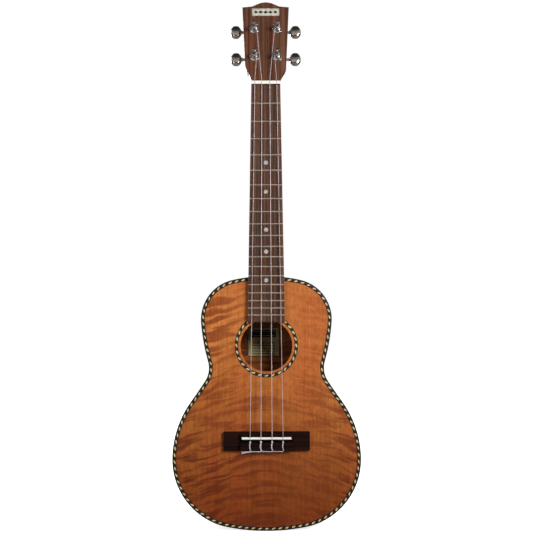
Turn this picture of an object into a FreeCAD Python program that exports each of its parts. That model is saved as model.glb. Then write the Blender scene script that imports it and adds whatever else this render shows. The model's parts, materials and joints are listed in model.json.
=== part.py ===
"""Tenor ukulele with rope binding, built as an assembly of separate pieces.

Frame: +Z runs up the neck from the tail, +X is the player's treble side seen from the front,
the soundboard faces -Y. Every shape is built with the soundboard's outer face at y = 0 and the
tail at z = 0, and is moved along Y at the end, so that the origin is at the bottom centre of
the whole instrument's box. Units are millimetres.
"""
import FreeCAD
import Part
import math
import os

V = FreeCAD.Vector

# ---- scale and body ----------------------------------------------------------------------
SCALE = 432.0                 # nut to the twelfth fret doubled, a 17 inch tenor scale
FRET_COUNT = 19
JOINT_FRET = 14               # the fret that lies on the body's upper edge
# The treble half of the outline is a chain of touching arcs: tail, lower bout, flank, low sweep,
# waist, high sweep, upper bout and top. Half widths place the bouts and the waist.
BODY_LENGTH = 312.0
TAIL_R = 250.0
LOWER_HALF_W = 116.0
LOWER_R = 84.0
FLANK_R = 120.0
LOW_SWEEP_R = 500.0           # hollow and nearly straight
WAIST_HALF_W = 71.0
WAIST_Z = 198.5
WAIST_R = 29.0
HIGH_SWEEP_R = 250.0
UPPER_HALF_W = 81.0
UPPER_R = 50.0
TOP_R = 190.0
DEPTH_TAIL = 73.0             # body depth at the tail
BACK_SLOPE = 0.035            # the back comes forward by this much per millimetre of height
TOP_T = 2.2                   # soundboard thickness
BACK_T = 2.2
SIDE_T = 2.0
BINDING_T = 1.4               # black strip round the corner of the body
BINDING_H = 5.0
ROPE_W = 2.7                  # rope strip inside the binding
LINE_W = 0.8                  # fine black line inside the rope
INLAY_D = 1.6                 # depth of the rope and of the line
LINING_W = 5.5
LINING_H = 9.0
BODY_REACH = 150.0            # beyond the body's half width, for cutting tools
NECK_BLOCK = (54.0, 30.0)     # width and length of the block inside the body's upper end
TAIL_BLOCK = (48.0, 14.0)
CROSS_BRACE = (7.0, 10.0)     # width and height of the soundboard's cross bars
CROSS_BRACE_Z = (269.0, 183.0)
FAN_BRACE = (5.0, 6.0)
FAN_HIGH = (22.0, 172.0)      # x and z of the outer fans' upper ends
FAN_LOW = (52.0, 34.0)
BACK_BRACE = (8.0, 12.0)
BACK_BRACE_Z = (262.0, 178.0, 84.0)
BRACE_GAP = 0.1               # between a brace's end and the lining
LABEL_CENTRE = (-3.5, 229.5)
LABEL_SIZE = (42.0, 39.0, 0.2)

# ---- sound hole and bridge -------------------------------------------------------------------
HOLE_Z = 226.0
HOLE_R = 32.0
ROSETTE_IN_R = 34.9
ROSETTE_ROPE_W = 3.2
ROSETTE_LINE_W = 0.5
ROSETTE_D = 1.2
SADDLE_Z = 113.3
SADDLE_T = 3.0
SADDLE_L = 60.4
SADDLE_TOP = 11.1             # height above the soundboard
SADDLE_FLOOR = 3.0            # height of the saddle slot's floor
BRIDGE_L = 106.0
BRIDGE_LOW_Z = 98.0
BRIDGE_HIGH_Z = 121.0
WING_H = 4.5
BLOCK_L = 64.0                # raised middle of the bridge
BLOCK_H = 8.6
TIE_H = 9.0
TIE_HIGH_Z = 108.0            # the tie block ends here, then comes the string channel
CHANNEL_HIGH_Z = 111.0
CHANNEL_FLOOR = 3.2
SLOT_WALL_H = 6.0             # wood behind the saddle, low enough for the strings to pass
TIE_HOLE_D = 1.8
TIE_HOLE_H = 5.6
BRIDGE_PLATE = (124.0, 38.0, 2.0)
BRIDGE_PLATE_Z = 109.0

# ---- neck, fingerboard, nut ------------------------------------------------------------------
FINGERBOARD_T = 6.0
NUT_W = 36.2
FINGERBOARD_END_W = 45.9
FINGERBOARD_OVERRUN = 8.6     # beyond the last fret
FRET_W = 2.0
FRET_H = 1.0
TANG_W = 0.55
TANG_H = 1.7
NUT_T = 4.4
NUT_H = 8.3
NUT_BACK_H = 6.9
DOT_D = 5.2
DOT_T = 1.0
DOT_FRETS = (5, 7, 10, 12, 15)
NECK_DEPTH_NUT = 13.4         # wood below the fingerboard
NECK_DEPTH_BODY = 16.0
NECK_ROUNDNESS = 2.15         # power of the curve behind the neck; 2 is an ellipse
NECK_BURIED = 6.0             # the neck is drawn this far into the body, then cut to its edge
HEEL_DEPTH = 60.0
HEEL_CAP_T = 2.0
HEEL_END_HALF_W = 10.0
HEEL_END_L = 9.0
HEEL_ROOT_L = 34.0            # added to the heel's length where it meets the neck
CURVE_STEPS = 16              # points along each carved section

# ---- head ------------------------------------------------------------------------------------
HEAD_TILT = 14.0
HEAD_T = 13.0                 # wood and veneer together
VENEER_T = 1.6
HEAD_PEAK_U = 113.2           # all u values run from the nut's back edge along the head's face
HEAD_CORNER_U = 105.9
HEAD_TOP_HALF_W = 29.8
HEAD_FOOT_HALF_W = 18.0
FLARE_IN_R = 29.0             # concave flare beside the nut
FLARE_IN_LOW_U = -2.4
FLARE_ANGLE = 33.0
FLARE_OUT_R = 20.0            # convex shoulder above it
HEAD_TAPER = 2.7
ARCH_R = 22.0                 # middle arch of the head's top
ARCH_ANGLE = 27.0
ARCH_FOOT_R = 8.1
ARCH_FOOT_X = 18.9
ARCH_FOOT_U = 107.0
SHOULDER_SLOPE = 5.0
PLATE_W = 34.6
PLATE_H = 10.6
PLATE_U = 98.9
PLATE_T = 0.8

# ---- tuners: x and u of the posts, heights h above the head's face -------------------------------
POSTS = (
    ("g", -14.2, 35.2), ("c", -14.8, 74.6), ("e", 14.8, 74.6), ("a", 14.2, 35.2),
)
POST_R = 2.5
POST_WAIST_R = 2.3
POST_CAP_R = 2.8
POST_TOP = 17.0
POST_BOTTOM = -22.0
POST_HOLE_H = 11.6
POST_HOLE_D = 1.7
RUNNING = 0.05                # radial clearance of every turning fit
BUSHING_R = 4.0
BUSHING_SLEEVE = 9.0
WASHER_R = 6.4
WASHER_T = 0.8
HEX_AF = 10.4
HEX_TOP = 4.0
COLLAR_R = 3.6
COLLAR_TOP = 5.0
PLATE_BACK_T = 1.0            # plate between the head and the gear housing
HOUSING_DEPTH = 10.4
HOUSING_WALL = 1.3
HOUSING_X = (-8.2, 8.6)       # the housing's plan, from the post's axis
HOUSING_U = (-6.6, 10.6)
HOUSING_CORNER_R = 3.6
MESH_H = -19.0                # height of the worm's axis and of the worm wheel's middle
TEETH = 14
MODULE = 0.56
WORM_PITCH_R = 2.1
WORM_L = 7.0
WHEEL_W = 2.6
SHAFT_R = 1.7
SHAFT_END_R = 1.4
BUTTON_NEAR = 17.0            # from the post's axis
BUTTON_FAR = 29.6
BUTTON_NECK = 15.4
BUTTON_H = 17.0
BUTTON_T = 8.4
SHAFT_END_X = 26.0
BOSS_END_X = 12.2
BOSS_R = 3.2
JOURNAL_R = 1.2
JOURNAL_X = 7.7
SEAT_R = 1.6                  # the post's lower end, pressed into the worm wheel
SCREW_R = 0.9
SCREW_HEAD_R = 2.0
EAR_U = -10.4
MOUNT_SCREW_L = 8.0

# ---- strings -----------------------------------------------------------------------------------
# name, diameter, x at the saddle, x at the nut
STRINGS = (
    ("g", 0.72, -20.1, -13.75), ("c", 0.92, -6.9, -5.0),
    ("e", 0.82, 6.7, 5.0), ("a", 0.68, 20.1, 13.75),
)
STRING_NUT_H = 7.6            # height of the string's middle over the soundboard's plane
STRING_REST = 0.03            # gap between a string and what it rests on
FIRST_TURN_H = 5.55           # height of the first turn on the post, above the head's face
TURN_GAP = 0.1
APPROACH = 5.0                # length of the last straight run, flat above the head
NUT_BEND_R = 6.0
TAIL_L = 8.0
SHORTEST_RUN = 0.001


# ================================ outline and slabs ==============================================
def arc_edge(cx, cz, radius, start, end):
    """Arc in the plane y = 0; angles in radians, measured from +X towards +Z."""
    points = []
    for angle in (start, 0.5 * (start + end), end):
        points.append(V(cx + radius * math.cos(angle), 0, cz + radius * math.sin(angle)))
    return Part.Arc(*points).toShape()


def circles_meet(first, first_r, second, second_r, side):
    """Where two circles meet, left (1) or right (-1) of the way from the first to the second."""
    dx, dz = second[0] - first[0], second[1] - first[1]
    apart = math.hypot(dx, dz)
    along = (apart ** 2 + first_r ** 2 - second_r ** 2) / (2 * apart)
    off = side * math.sqrt(first_r ** 2 - along ** 2)
    return first[0] + (dx * along - dz * off) / apart, first[1] + (dz * along + dx * off) / apart


def outline_circles():
    """Centre, radius and side (-1 where the outline is hollow) of each arc, tail to neck."""
    tail, top = (0.0, TAIL_R), (0.0, BODY_LENGTH - TOP_R)
    lower_x, upper_x = LOWER_HALF_W - LOWER_R, UPPER_HALF_W - UPPER_R
    lower = (lower_x, tail[1] - math.sqrt((TAIL_R - LOWER_R) ** 2 - lower_x ** 2))
    upper = (upper_x, top[1] + math.sqrt((TOP_R - UPPER_R) ** 2 - upper_x ** 2))
    flank = (LOWER_HALF_W - FLANK_R, lower[1])
    waist = (WAIST_HALF_W + WAIST_R, WAIST_Z)
    low_sweep = circles_meet(flank, FLANK_R + LOW_SWEEP_R, waist, LOW_SWEEP_R - WAIST_R, -1)
    high_sweep = circles_meet(waist, WAIST_R + HIGH_SWEEP_R, upper, HIGH_SWEEP_R - UPPER_R, 1)
    return [(tail, TAIL_R, 1), (lower, LOWER_R, 1), (flank, FLANK_R, 1),
            (low_sweep, LOW_SWEEP_R, -1), (waist, WAIST_R, -1), (high_sweep, HIGH_SWEEP_R, 1),
            (upper, UPPER_R, 1), (top, TOP_R, 1)]


def outline_arcs():
    """Centre x and z, radius, side and end angles of the treble half's arcs, tail to neck."""
    circles = outline_circles()
    joins = [(0.0, 0.0)]
    for (here, radius, side), (there, other_r, other_side) in zip(circles, circles[1:]):
        signed, other = side * radius, other_side * other_r
        joins.append(tuple((there[i] * signed - here[i] * other) / (signed - other)
                           for i in (0, 1)))
    joins.append((0.0, BODY_LENGTH))
    arcs = []
    for (centre, radius, side), first, last in zip(circles, joins, joins[1:]):
        start, end = (math.atan2(z - centre[1], x - centre[0]) for x, z in (first, last))
        if side < 0:
            start, end = start % (2 * math.pi), end % (2 * math.pi)
        arcs.append((centre[0], centre[1], radius, side, start, end))
    return arcs


ARCS = outline_arcs()
BODY_TOP = BODY_LENGTH


def outline_face(inset):
    """Flat face at y = 0 inside the body's outline, moved in by inset."""
    edges = []
    for cx, cz, radius, side, start, end in ARCS:
        edges.append(arc_edge(cx, cz, radius - side * inset, start, end))
    mirrored = [edge.mirror(V(0, 0, 0), V(1, 0, 0)) for edge in edges]
    loop = Part.Wire(Part.__sortEdges__(edges + mirrored))
    return Part.Face(loop)


def body_prism(inset, y_front, y_back):
    face = outline_face(inset)
    face.translate(V(0, y_front, 0))
    return face.extrude(V(0, y_back - y_front, 0))


def back_y(z):
    """Depth of the back's outer face at height z."""
    return DEPTH_TAIL - BACK_SLOPE * z


def back_slab(outer, inner):
    """Everything between two planes parallel to the back, outer and inner below its face."""
    low, high, reach = -20.0, 340.0, BODY_REACH
    corners = [
        V(-reach, back_y(low) - inner, low), V(-reach, back_y(high) - inner, high),
        V(-reach, back_y(high) - outer, high), V(-reach, back_y(low) - outer, low),
    ]
    face = Part.Face(Part.makePolygon(corners + corners[:1]))
    return face.extrude(V(2 * reach, 0, 0))


def up_to_back(inset, y_front, gap):
    """Prism of the outline from y_front to a plane gap inside the back's outer face."""
    return body_prism(inset, y_front, DEPTH_TAIL).cut(back_slab(-20.0, gap))


def box(x0, x1, y0, y1, z0, z1):
    return Part.makeBox(x1 - x0, y1 - y0, z1 - z0, V(x0, y0, z0))


def y_cylinder(radius, x, z, y0, y1):
    return Part.makeCylinder(radius, y1 - y0, V(x, y0, z), V(0, 1, 0))


# ================================ body ============================================================
def hole_ring(inner_r, outer_r, depth):
    ring = y_cylinder(outer_r, 0, HOLE_Z, 0, depth)
    return ring.cut(y_cylinder(inner_r, 0, HOLE_Z, -1, depth + 1))


def rosette_radii():
    rope_in = ROSETTE_IN_R + ROSETTE_LINE_W
    rope_out = rope_in + ROSETTE_ROPE_W
    return ROSETTE_IN_R, rope_in, rope_out, rope_out + ROSETTE_LINE_W


def inlay_inset():
    """Insets of the rope's outer edge, the rope's inner edge and the fine line's inner edge."""
    rope_in = BINDING_T + ROPE_W
    return BINDING_T, rope_in, rope_in + LINE_W


def soundboard():
    edge, _, plain = inlay_inset()
    plate = body_prism(plain, 0, INLAY_D).fuse(body_prism(edge, INLAY_D, TOP_T))
    plate = plate.cut(y_cylinder(HOLE_R, 0, HOLE_Z, -1, TOP_T + 1))
    radii = rosette_radii()
    return plate.cut(hole_ring(radii[0], radii[3], ROSETTE_D)).removeSplitter()


def rope_purfling():
    outer, inner, _ = inlay_inset()
    return body_prism(outer, 0, INLAY_D).cut(body_prism(inner, -1, INLAY_D + 1))


def rosette_rope():
    _, rope_in, rope_out, _ = rosette_radii()
    return hole_ring(rope_in, rope_out, ROSETTE_D)


def black_lines():
    """The fine line round the soundboard and the two rings beside the rosette's rope."""
    _, outer, inner = inlay_inset()
    r0, r1, r2, r3 = rosette_radii()
    edge_line = body_prism(outer, 0, INLAY_D).cut(body_prism(inner, -1, INLAY_D + 1))
    rings = [hole_ring(r0, r1, ROSETTE_D), hole_ring(r2, r3, ROSETTE_D)]
    return Part.makeCompound([edge_line] + rings)


def top_binding():
    return body_prism(0, 0, BINDING_H).cut(body_prism(BINDING_T, -1, BINDING_H + 1))


def back_binding():
    strip = body_prism(0, 0, DEPTH_TAIL).cut(body_prism(BINDING_T, -1, DEPTH_TAIL + 1))
    return strip.common(back_slab(0, BINDING_H))


def back_plate():
    return body_prism(BINDING_T, 0, DEPTH_TAIL).common(back_slab(0, BACK_T))


def side_half(sign):
    """One bent rib, rebated at both edges for the binding, meeting the other at tail and neck."""
    wall = up_to_back(0, BINDING_H, BINDING_H).fuse(up_to_back(BINDING_T, TOP_T, BACK_T))
    wall = wall.cut(body_prism(SIDE_T, 0, DEPTH_TAIL + 1))
    far = sign * BODY_REACH
    keep = box(min(0, far), max(0, far), -5, DEPTH_TAIL + 5, -5, BODY_TOP + 5)
    return wall.common(keep).removeSplitter()


def neck_block():
    width, length = NECK_BLOCK
    block = box(-width / 2, width / 2, TOP_T, DEPTH_TAIL, BODY_TOP - SIDE_T - length, BODY_TOP)
    return block.common(up_to_back(SIDE_T, TOP_T, BACK_T))


def tail_block():
    width, length = TAIL_BLOCK
    block = box(-width / 2, width / 2, TOP_T, DEPTH_TAIL, 0, SIDE_T + length)
    return block.common(up_to_back(SIDE_T, TOP_T, BACK_T))


def linings():
    """Glue strips inside the corners of the ribs, two at the soundboard and two at the back."""
    strip = body_prism(SIDE_T, 0, DEPTH_TAIL).cut(
        body_prism(SIDE_T + LINING_W, -1, DEPTH_TAIL + 1))
    strip = strip.cut(neck_block()).cut(tail_block())
    front = strip.common(box(-BODY_REACH, BODY_REACH, TOP_T, TOP_T + LINING_H, 0, BODY_TOP))
    back = strip.common(back_slab(BACK_T, BACK_T + LINING_H))
    return Part.makeCompound(front.Solids + back.Solids)


def bar(x0, z0, x1, z1, width, y0, y1):
    """Straight wooden bar between two points of the XZ plane."""
    along = V(x1 - x0, 0, z1 - z0).normalize()
    across = V(-along.z, 0, along.x) * (width / 2)
    start, end = V(x0, y0, z0), V(x1, y0, z1)
    corners = [start - across, end - across, end + across, start + across]
    face = Part.Face(Part.makePolygon(corners + corners[:1]))
    return face.extrude(V(0, y1 - y0, 0))


def bridge_plate():
    """Thin wood glued under the soundboard behind the bridge."""
    width, height, thickness = BRIDGE_PLATE
    return box(-width / 2, width / 2, TOP_T, TOP_T + thickness,
               BRIDGE_PLATE_Z - height / 2, BRIDGE_PLATE_Z + height / 2)


def soundboard_braces():
    """Two cross bars above and below the sound hole and three fans beside the bridge plate."""
    inside = body_prism(SIDE_T + LINING_W + BRACE_GAP, TOP_T, DEPTH_TAIL)
    width, height = CROSS_BRACE
    bars = []
    for z in CROSS_BRACE_Z:
        whole = bar(-BODY_REACH, z, BODY_REACH, z, width, TOP_T, TOP_T + height)
        bars.append(whole.common(inside))
    width, height = FAN_BRACE
    for side in (-1, 0, 1):
        fan = bar(FAN_HIGH[0] * side, FAN_HIGH[1], FAN_LOW[0] * side, FAN_LOW[1], width,
                  TOP_T, TOP_T + height)
        bars.append(fan.common(inside).cut(bridge_plate()))
    return Part.makeCompound([solid for piece in bars for solid in piece.Solids])


def back_braces():
    width, height = BACK_BRACE
    inside = body_prism(SIDE_T + LINING_W + BRACE_GAP, 0, DEPTH_TAIL + 1)
    room = inside.common(back_slab(BACK_T, BACK_T + height))
    bars = []
    for z in BACK_BRACE_Z:
        whole = bar(-BODY_REACH, z, BODY_REACH, z, width, 0, DEPTH_TAIL + 1)
        bars.append(whole.common(room))
    return Part.makeCompound([solid for piece in bars for solid in piece.Solids])


def label():
    """Paper label glued inside the back, seen through the sound hole."""
    x, z = LABEL_CENTRE
    width, height, thickness = LABEL_SIZE
    paper = box(x - width / 2, x + width / 2, 0, DEPTH_TAIL, z - height / 2, z + height / 2)
    return paper.common(back_slab(BACK_T, BACK_T + thickness))


# ================================ bridge ===========================================================
def bridge():
    """Wings, raised block with the saddle's slot, string channel and drilled tie block."""
    low, high = BRIDGE_LOW_Z, BRIDGE_HIGH_Z
    half = BRIDGE_L / 2
    wings = box(-half, half, -WING_H, 0, low, high)
    corner_edges = [edge for edge in wings.Edges if edge.BoundBox.YLength > WING_H / 2]
    wings = wings.makeFillet(1.0, corner_edges)
    section = [
        V(0, 0, low), V(0, -TIE_H + 1.0, low), V(0, -TIE_H, low + 1.0),
        V(0, -TIE_H, TIE_HIGH_Z - 1.2), V(0, -TIE_H + 1.2, TIE_HIGH_Z),
        V(0, -CHANNEL_FLOOR, TIE_HIGH_Z), V(0, -CHANNEL_FLOOR, CHANNEL_HIGH_Z),
        V(0, -SLOT_WALL_H, CHANNEL_HIGH_Z), V(0, -SLOT_WALL_H, SADDLE_Z),
        V(0, -BLOCK_H, SADDLE_Z), V(0, -BLOCK_H, SADDLE_Z + 3.6),
        V(0, -WING_H, high), V(0, 0, high),
    ]
    face = Part.Face(Part.makePolygon(section + section[:1]))
    block = face.extrude(V(BLOCK_L, 0, 0))
    block.translate(V(-BLOCK_L / 2, 0, 0))
    channel = box(-BLOCK_L / 2, BLOCK_L / 2, -20, -CHANNEL_FLOOR, TIE_HIGH_Z, CHANNEL_HIGH_Z)
    body = wings.cut(channel).fuse(block)
    body = body.cut(saddle_blank())
    for _, _, x, _ in STRINGS:
        drill = Part.makeCylinder(TIE_HOLE_D / 2, 12.0, V(x, -TIE_HOLE_H, low - 1), V(0, 0, 1))
        body = body.cut(drill)
    return body.removeSplitter()


def saddle_blank():
    """The saddle before its crest is rounded; it also cuts the saddle's slot."""
    half = SADDLE_L / 2
    z0 = SADDLE_Z - SADDLE_T / 2
    return box(-half, half, -SADDLE_TOP, -SADDLE_FLOOR, z0, z0 + SADDLE_T)


def saddle():
    """Bone strip with a round crest along its whole length."""
    radius = SADDLE_T / 2
    half = SADDLE_L / 2
    low_part = box(-half, half, -SADDLE_TOP + radius, 0, 0, BRIDGE_HIGH_Z)
    crest = Part.makeCylinder(radius, SADDLE_L, V(-half, -SADDLE_TOP + radius, SADDLE_Z),
                              V(1, 0, 0))
    return saddle_blank().common(low_part).fuse(crest).removeSplitter()


# ================================ neck and head ====================================================
def fret_distance(number):
    return SCALE * (1 - 2 ** (-number / 12))


NUT_Z = BODY_TOP + fret_distance(JOINT_FRET)
BOARD_LOW_Z = NUT_Z - fret_distance(FRET_COUNT) - FINGERBOARD_OVERRUN
HEAD_Z = NUT_Z + NUT_T


def board_half_width(z):
    share = (NUT_Z - z) / (NUT_Z - BOARD_LOW_Z)
    return 0.5 * (NUT_W + (FINGERBOARD_END_W - NUT_W) * share)


def head_place(shape):
    """Turns a shape from the head's own frame (x, u along the face, h above it) into place."""
    placed = shape.copy()
    placed.rotate(V(0, 0, 0), V(1, 0, 0), 90 - HEAD_TILT)
    placed.translate(V(0, -VENEER_T, HEAD_Z))
    return placed


def head_point(x, u, h):
    tilt = math.radians(HEAD_TILT)
    y = u * math.sin(tilt) - h * math.cos(tilt)
    z = u * math.cos(tilt) + h * math.sin(tilt)
    return V(x, y - VENEER_T, z + HEAD_Z)


def head_half_outline():
    """Edges of the right half in the head's frame, from the foot beside the nut to the peak."""
    turn = math.radians(FLARE_ANGLE)
    taper = math.radians(HEAD_TAPER)
    in_x, in_u = HEAD_FOOT_HALF_W + FLARE_IN_R, FLARE_IN_LOW_U
    swing_x = in_x - FLARE_IN_R * math.cos(turn)
    swing_u = in_u + FLARE_IN_R * math.sin(turn)
    out_x = swing_x - FLARE_OUT_R * math.cos(turn)
    out_u = swing_u + FLARE_OUT_R * math.sin(turn)

    def inner(angle):
        return V(in_x - FLARE_IN_R * math.cos(angle), in_u + FLARE_IN_R * math.sin(angle), 0)

    def outer(angle):
        return V(out_x + FLARE_OUT_R * math.cos(angle), out_u - FLARE_OUT_R * math.sin(angle), 0)

    foot_turn = math.asin(-FLARE_IN_LOW_U / FLARE_IN_R)
    corner = V(HEAD_TOP_HALF_W, HEAD_CORNER_U, 0)
    slope = math.radians(SHOULDER_SLOPE)
    arch = math.radians(ARCH_ANGLE)
    foot_c = V(ARCH_FOOT_X + ARCH_FOOT_R * math.sin(slope),
               ARCH_FOOT_U + ARCH_FOOT_R * math.cos(slope), 0)
    shoulder_end = V(ARCH_FOOT_X, ARCH_FOOT_U, 0)
    middle = 0.5 * (slope + arch)
    foot_mid = foot_c - V(math.sin(middle), math.cos(middle), 0) * ARCH_FOOT_R
    foot_end = foot_c - V(math.sin(arch), math.cos(arch), 0) * ARCH_FOOT_R
    arch_c = V(0, HEAD_PEAK_U - ARCH_R, 0)
    arch_start = arch_c + V(math.sin(arch), math.cos(arch), 0) * ARCH_R
    arch_mid = arch_c + V(math.sin(arch / 2), math.cos(arch / 2), 0) * ARCH_R
    peak = V(0, HEAD_PEAK_U, 0)
    return [
        Part.Arc(inner(foot_turn), inner(0.5 * (foot_turn + turn)), inner(turn)).toShape(),
        Part.Arc(inner(turn), outer(0.5 * (turn + taper)), outer(taper)).toShape(),
        Part.LineSegment(outer(taper), corner).toShape(),
        Part.LineSegment(corner, shoulder_end).toShape(),
        Part.Arc(shoulder_end, foot_mid, foot_end).toShape(),
        Part.LineSegment(foot_end, arch_start).toShape(),
        Part.Arc(arch_start, arch_mid, peak).toShape(),
    ]


def head_slab(h_low, h_high):
    """Solid of the head's outline between two heights, in place."""
    edges = head_half_outline()
    foot = edges[0].Vertexes[0].Point
    mirrored = [edge.mirror(V(0, 0, 0), V(1, 0, 0)) for edge in edges]
    base = Part.LineSegment(V(-foot.x, foot.y, 0), foot).toShape()
    loop = Part.Wire(Part.__sortEdges__(edges + mirrored + [base]))
    face = Part.Face(loop)
    face.translate(V(0, 0, h_low))
    return head_place(face.extrude(V(0, 0, h_high - h_low)))


def tuner_bores():
    """Holes through the head for the four tuner bushings."""
    bores = []
    for _, x, u in POSTS:
        bore = Part.makeCylinder(BUSHING_R, HEAD_T + 2, V(x, u, -HEAD_T - 1))
        bores.append(head_place(bore))
    screw_hole = Part.makeCylinder(SCREW_R, MOUNT_SCREW_L, V(0, EAR_U, -HEAD_T - PLATE_BACK_T))
    return Part.makeCompound(bores + [at_all_posts(screw_hole)])


def neck_section(half_w, depth, squareness, z):
    """Closed loop at height z: flat towards the fingerboard, rounded behind."""
    points = []
    for step in range(CURVE_STEPS + 1):
        angle = math.pi * step / CURVE_STEPS
        x = half_w * math.copysign(abs(math.cos(angle)) ** (2 / squareness), math.cos(angle))
        y = depth * math.sin(angle) ** (2 / squareness)
        points.append(V(x, y, z))
    curve = Part.BSplineCurve()
    curve.interpolate(points)
    flat = Part.LineSegment(points[-1], points[0])
    return Part.Wire([curve.toShape(), flat.toShape()])


def heel_section(y, half_w, length):
    """Closed loop at depth y: straight towards the body, rounded towards the head."""
    start, end = V(half_w, y, BODY_TOP - NECK_BURIED), V(-half_w, y, BODY_TOP - NECK_BURIED)
    points = []
    for step in range(CURVE_STEPS + 1):
        angle = math.pi * step / CURVE_STEPS
        points.append(V(half_w * math.cos(angle), y, BODY_TOP + length * math.sin(angle)))
    curve = Part.BSplineCurve()
    curve.interpolate(points)
    return Part.Wire([
        Part.LineSegment(start, points[0]).toShape(), curve.toShape(),
        Part.LineSegment(points[-1], end).toShape(), Part.LineSegment(end, start).toShape(),
    ])


def heel_half_width(y):
    """The heel narrows from the neck's width to a small cap at the back."""
    share = min(1.0, max(0.0, y / HEEL_DEPTH))
    wide = board_half_width(BODY_TOP)
    return HEEL_END_HALF_W + (wide - HEEL_END_HALF_W) * (1 - share) ** 1.6


def heel_length(y):
    share = min(1.0, max(0.0, y / HEEL_DEPTH))
    return HEEL_END_L + HEEL_ROOT_L * (1 - share) ** 3


def heel():
    sections = []
    for share in (0.0, 0.12, 0.28, 0.5, 0.75, 1.0):
        y = share * HEEL_DEPTH
        sections.append(heel_section(y, heel_half_width(y), heel_length(y)))
    return Part.makeLoft(sections, True, False)


def neck_shaft():
    """Carved shaft from inside the body's edge to the nut."""
    low, high = BODY_TOP - NECK_BURIED, HEAD_Z + 3
    sections = []
    for share in (0.0, 0.15, 0.5, 0.85, 1.0):
        z = low + (high - low) * share
        depth = NECK_DEPTH_BODY + (NECK_DEPTH_NUT - NECK_DEPTH_BODY) * share
        sections.append(neck_section(board_half_width(z), depth, NECK_ROUNDNESS, z))
    return Part.makeLoft(sections, True, False)


def foot_section(u, half_w, depth, squareness):
    """Loop across the head's foot: open towards the face, rounded behind."""
    top = 6.0
    points = []
    for step in range(CURVE_STEPS + 1):
        angle = math.pi * step / CURVE_STEPS
        x = half_w * math.copysign(abs(math.cos(angle)) ** (2 / squareness), math.cos(angle))
        points.append(V(x, u, -VENEER_T - depth * math.sin(angle) ** (2 / squareness)))
    curve = Part.BSplineCurve()
    curve.interpolate(points)
    right, left = V(half_w, u, top), V(-half_w, u, top)
    return Part.Wire([
        Part.LineSegment(right, points[0]).toShape(), curve.toShape(),
        Part.LineSegment(points[-1], left).toShape(), Part.LineSegment(left, right).toShape(),
    ])


def foot_carving():
    """Shape that the back of the head's foot is carved to: round at the nut, square above."""
    wood_t = HEAD_T - VENEER_T
    sections = [
        foot_section(-9.0, NUT_W / 2 - 0.1, NECK_DEPTH_NUT, NECK_ROUNDNESS),
        foot_section(2.0, NUT_W / 2 + 0.4, NECK_DEPTH_NUT - 0.3, 2.3),
        foot_section(13.0, 24.5, wood_t + 0.6, 3.4),
        foot_section(24.0, 27.5, wood_t + 0.2, 7.0),
        foot_section(34.0, 30.0, wood_t + 0.1, 12.0),
    ]
    return head_place(Part.makeLoft(sections, True, False))


def neck():
    """Neck, heel and the wood of the head in one piece, with the tuner holes."""
    shaft = neck_shaft().cut(box(-40, 40, -40, 60, HEAD_Z, HEAD_Z + 20))
    above = head_place(Part.makeBox(80, 100, 40, V(-40, 33.0, -30)))
    wood = head_slab(-HEAD_T, -VENEER_T).common(foot_carving().fuse(above))
    wood = wood.cut(box(-60, 60, -30, 60, HEAD_Z - 30, HEAD_Z))
    body = shaft.fuse(heel()).fuse(wood)
    body = body.cut(body_prism(0, -1, 200.0))
    return body.cut(tuner_bores()).removeSplitter()


def heel_cap():
    """Thin plate over the heel's end, in line with the back."""
    y = HEEL_DEPTH
    outline = Part.Face(heel_section(y, heel_half_width(y), heel_length(y)))
    cap = outline.extrude(V(0, HEEL_CAP_T, 0))
    return cap.cut(body_prism(0, -1, 200.0))


def head_veneer():
    """Rosewood face of the head, with the recess of the pearl plate."""
    veneer = head_slab(-VENEER_T, 0).cut(box(-60, 60, -30, 60, HEAD_Z - 30, HEAD_Z))
    return veneer.cut(tuner_bores()).cut(head_plate())


def head_plate():
    plate = Part.makeBox(PLATE_W, PLATE_H, PLATE_T,
                         V(-PLATE_W / 2, PLATE_U - PLATE_H / 2, -PLATE_T))
    upright = [edge for edge in plate.Edges if edge.BoundBox.ZLength > PLATE_T / 2]
    return head_place(plate.makeFillet(0.6, upright))


def board_blank(y_front, y_back):
    low_w, high_w = board_half_width(BOARD_LOW_Z), board_half_width(NUT_Z)
    corners = [
        V(-low_w, y_front, BOARD_LOW_Z), V(low_w, y_front, BOARD_LOW_Z),
        V(high_w, y_front, NUT_Z), V(-high_w, y_front, NUT_Z),
    ]
    face = Part.Face(Part.makePolygon(corners + corners[:1]))
    return face.extrude(V(0, y_back - y_front, 0))


def fret(number):
    """T-shaped wire: round crown on the board and a tang in its slot."""
    z = NUT_Z - fret_distance(number)
    half = board_half_width(z) - 0.15
    top = -FINGERBOARD_T - FRET_H
    seat = -FINGERBOARD_T
    crown = Part.Arc(V(-half, seat, z - FRET_W / 2), V(-half, top, z),
                     V(-half, seat, z + FRET_W / 2)).toShape()
    base = Part.LineSegment(V(-half, seat, z + FRET_W / 2),
                            V(-half, seat, z - FRET_W / 2)).toShape()
    bead = Part.Face(Part.Wire([crown, base])).extrude(V(2 * half, 0, 0))
    tang = box(-half, half, seat - 0.2, seat + TANG_H, z - TANG_W / 2, z + TANG_W / 2)
    return bead.fuse(tang).removeSplitter()


def frets():
    return Part.makeCompound([fret(number) for number in range(1, FRET_COUNT + 1)])


def dot(number):
    z = NUT_Z - 0.5 * (fret_distance(number) + fret_distance(number - 1))
    return y_cylinder(DOT_D / 2, 0, z, -FINGERBOARD_T, -FINGERBOARD_T + DOT_T)


def position_dots():
    return Part.makeCompound([dot(number) for number in DOT_FRETS])


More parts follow.
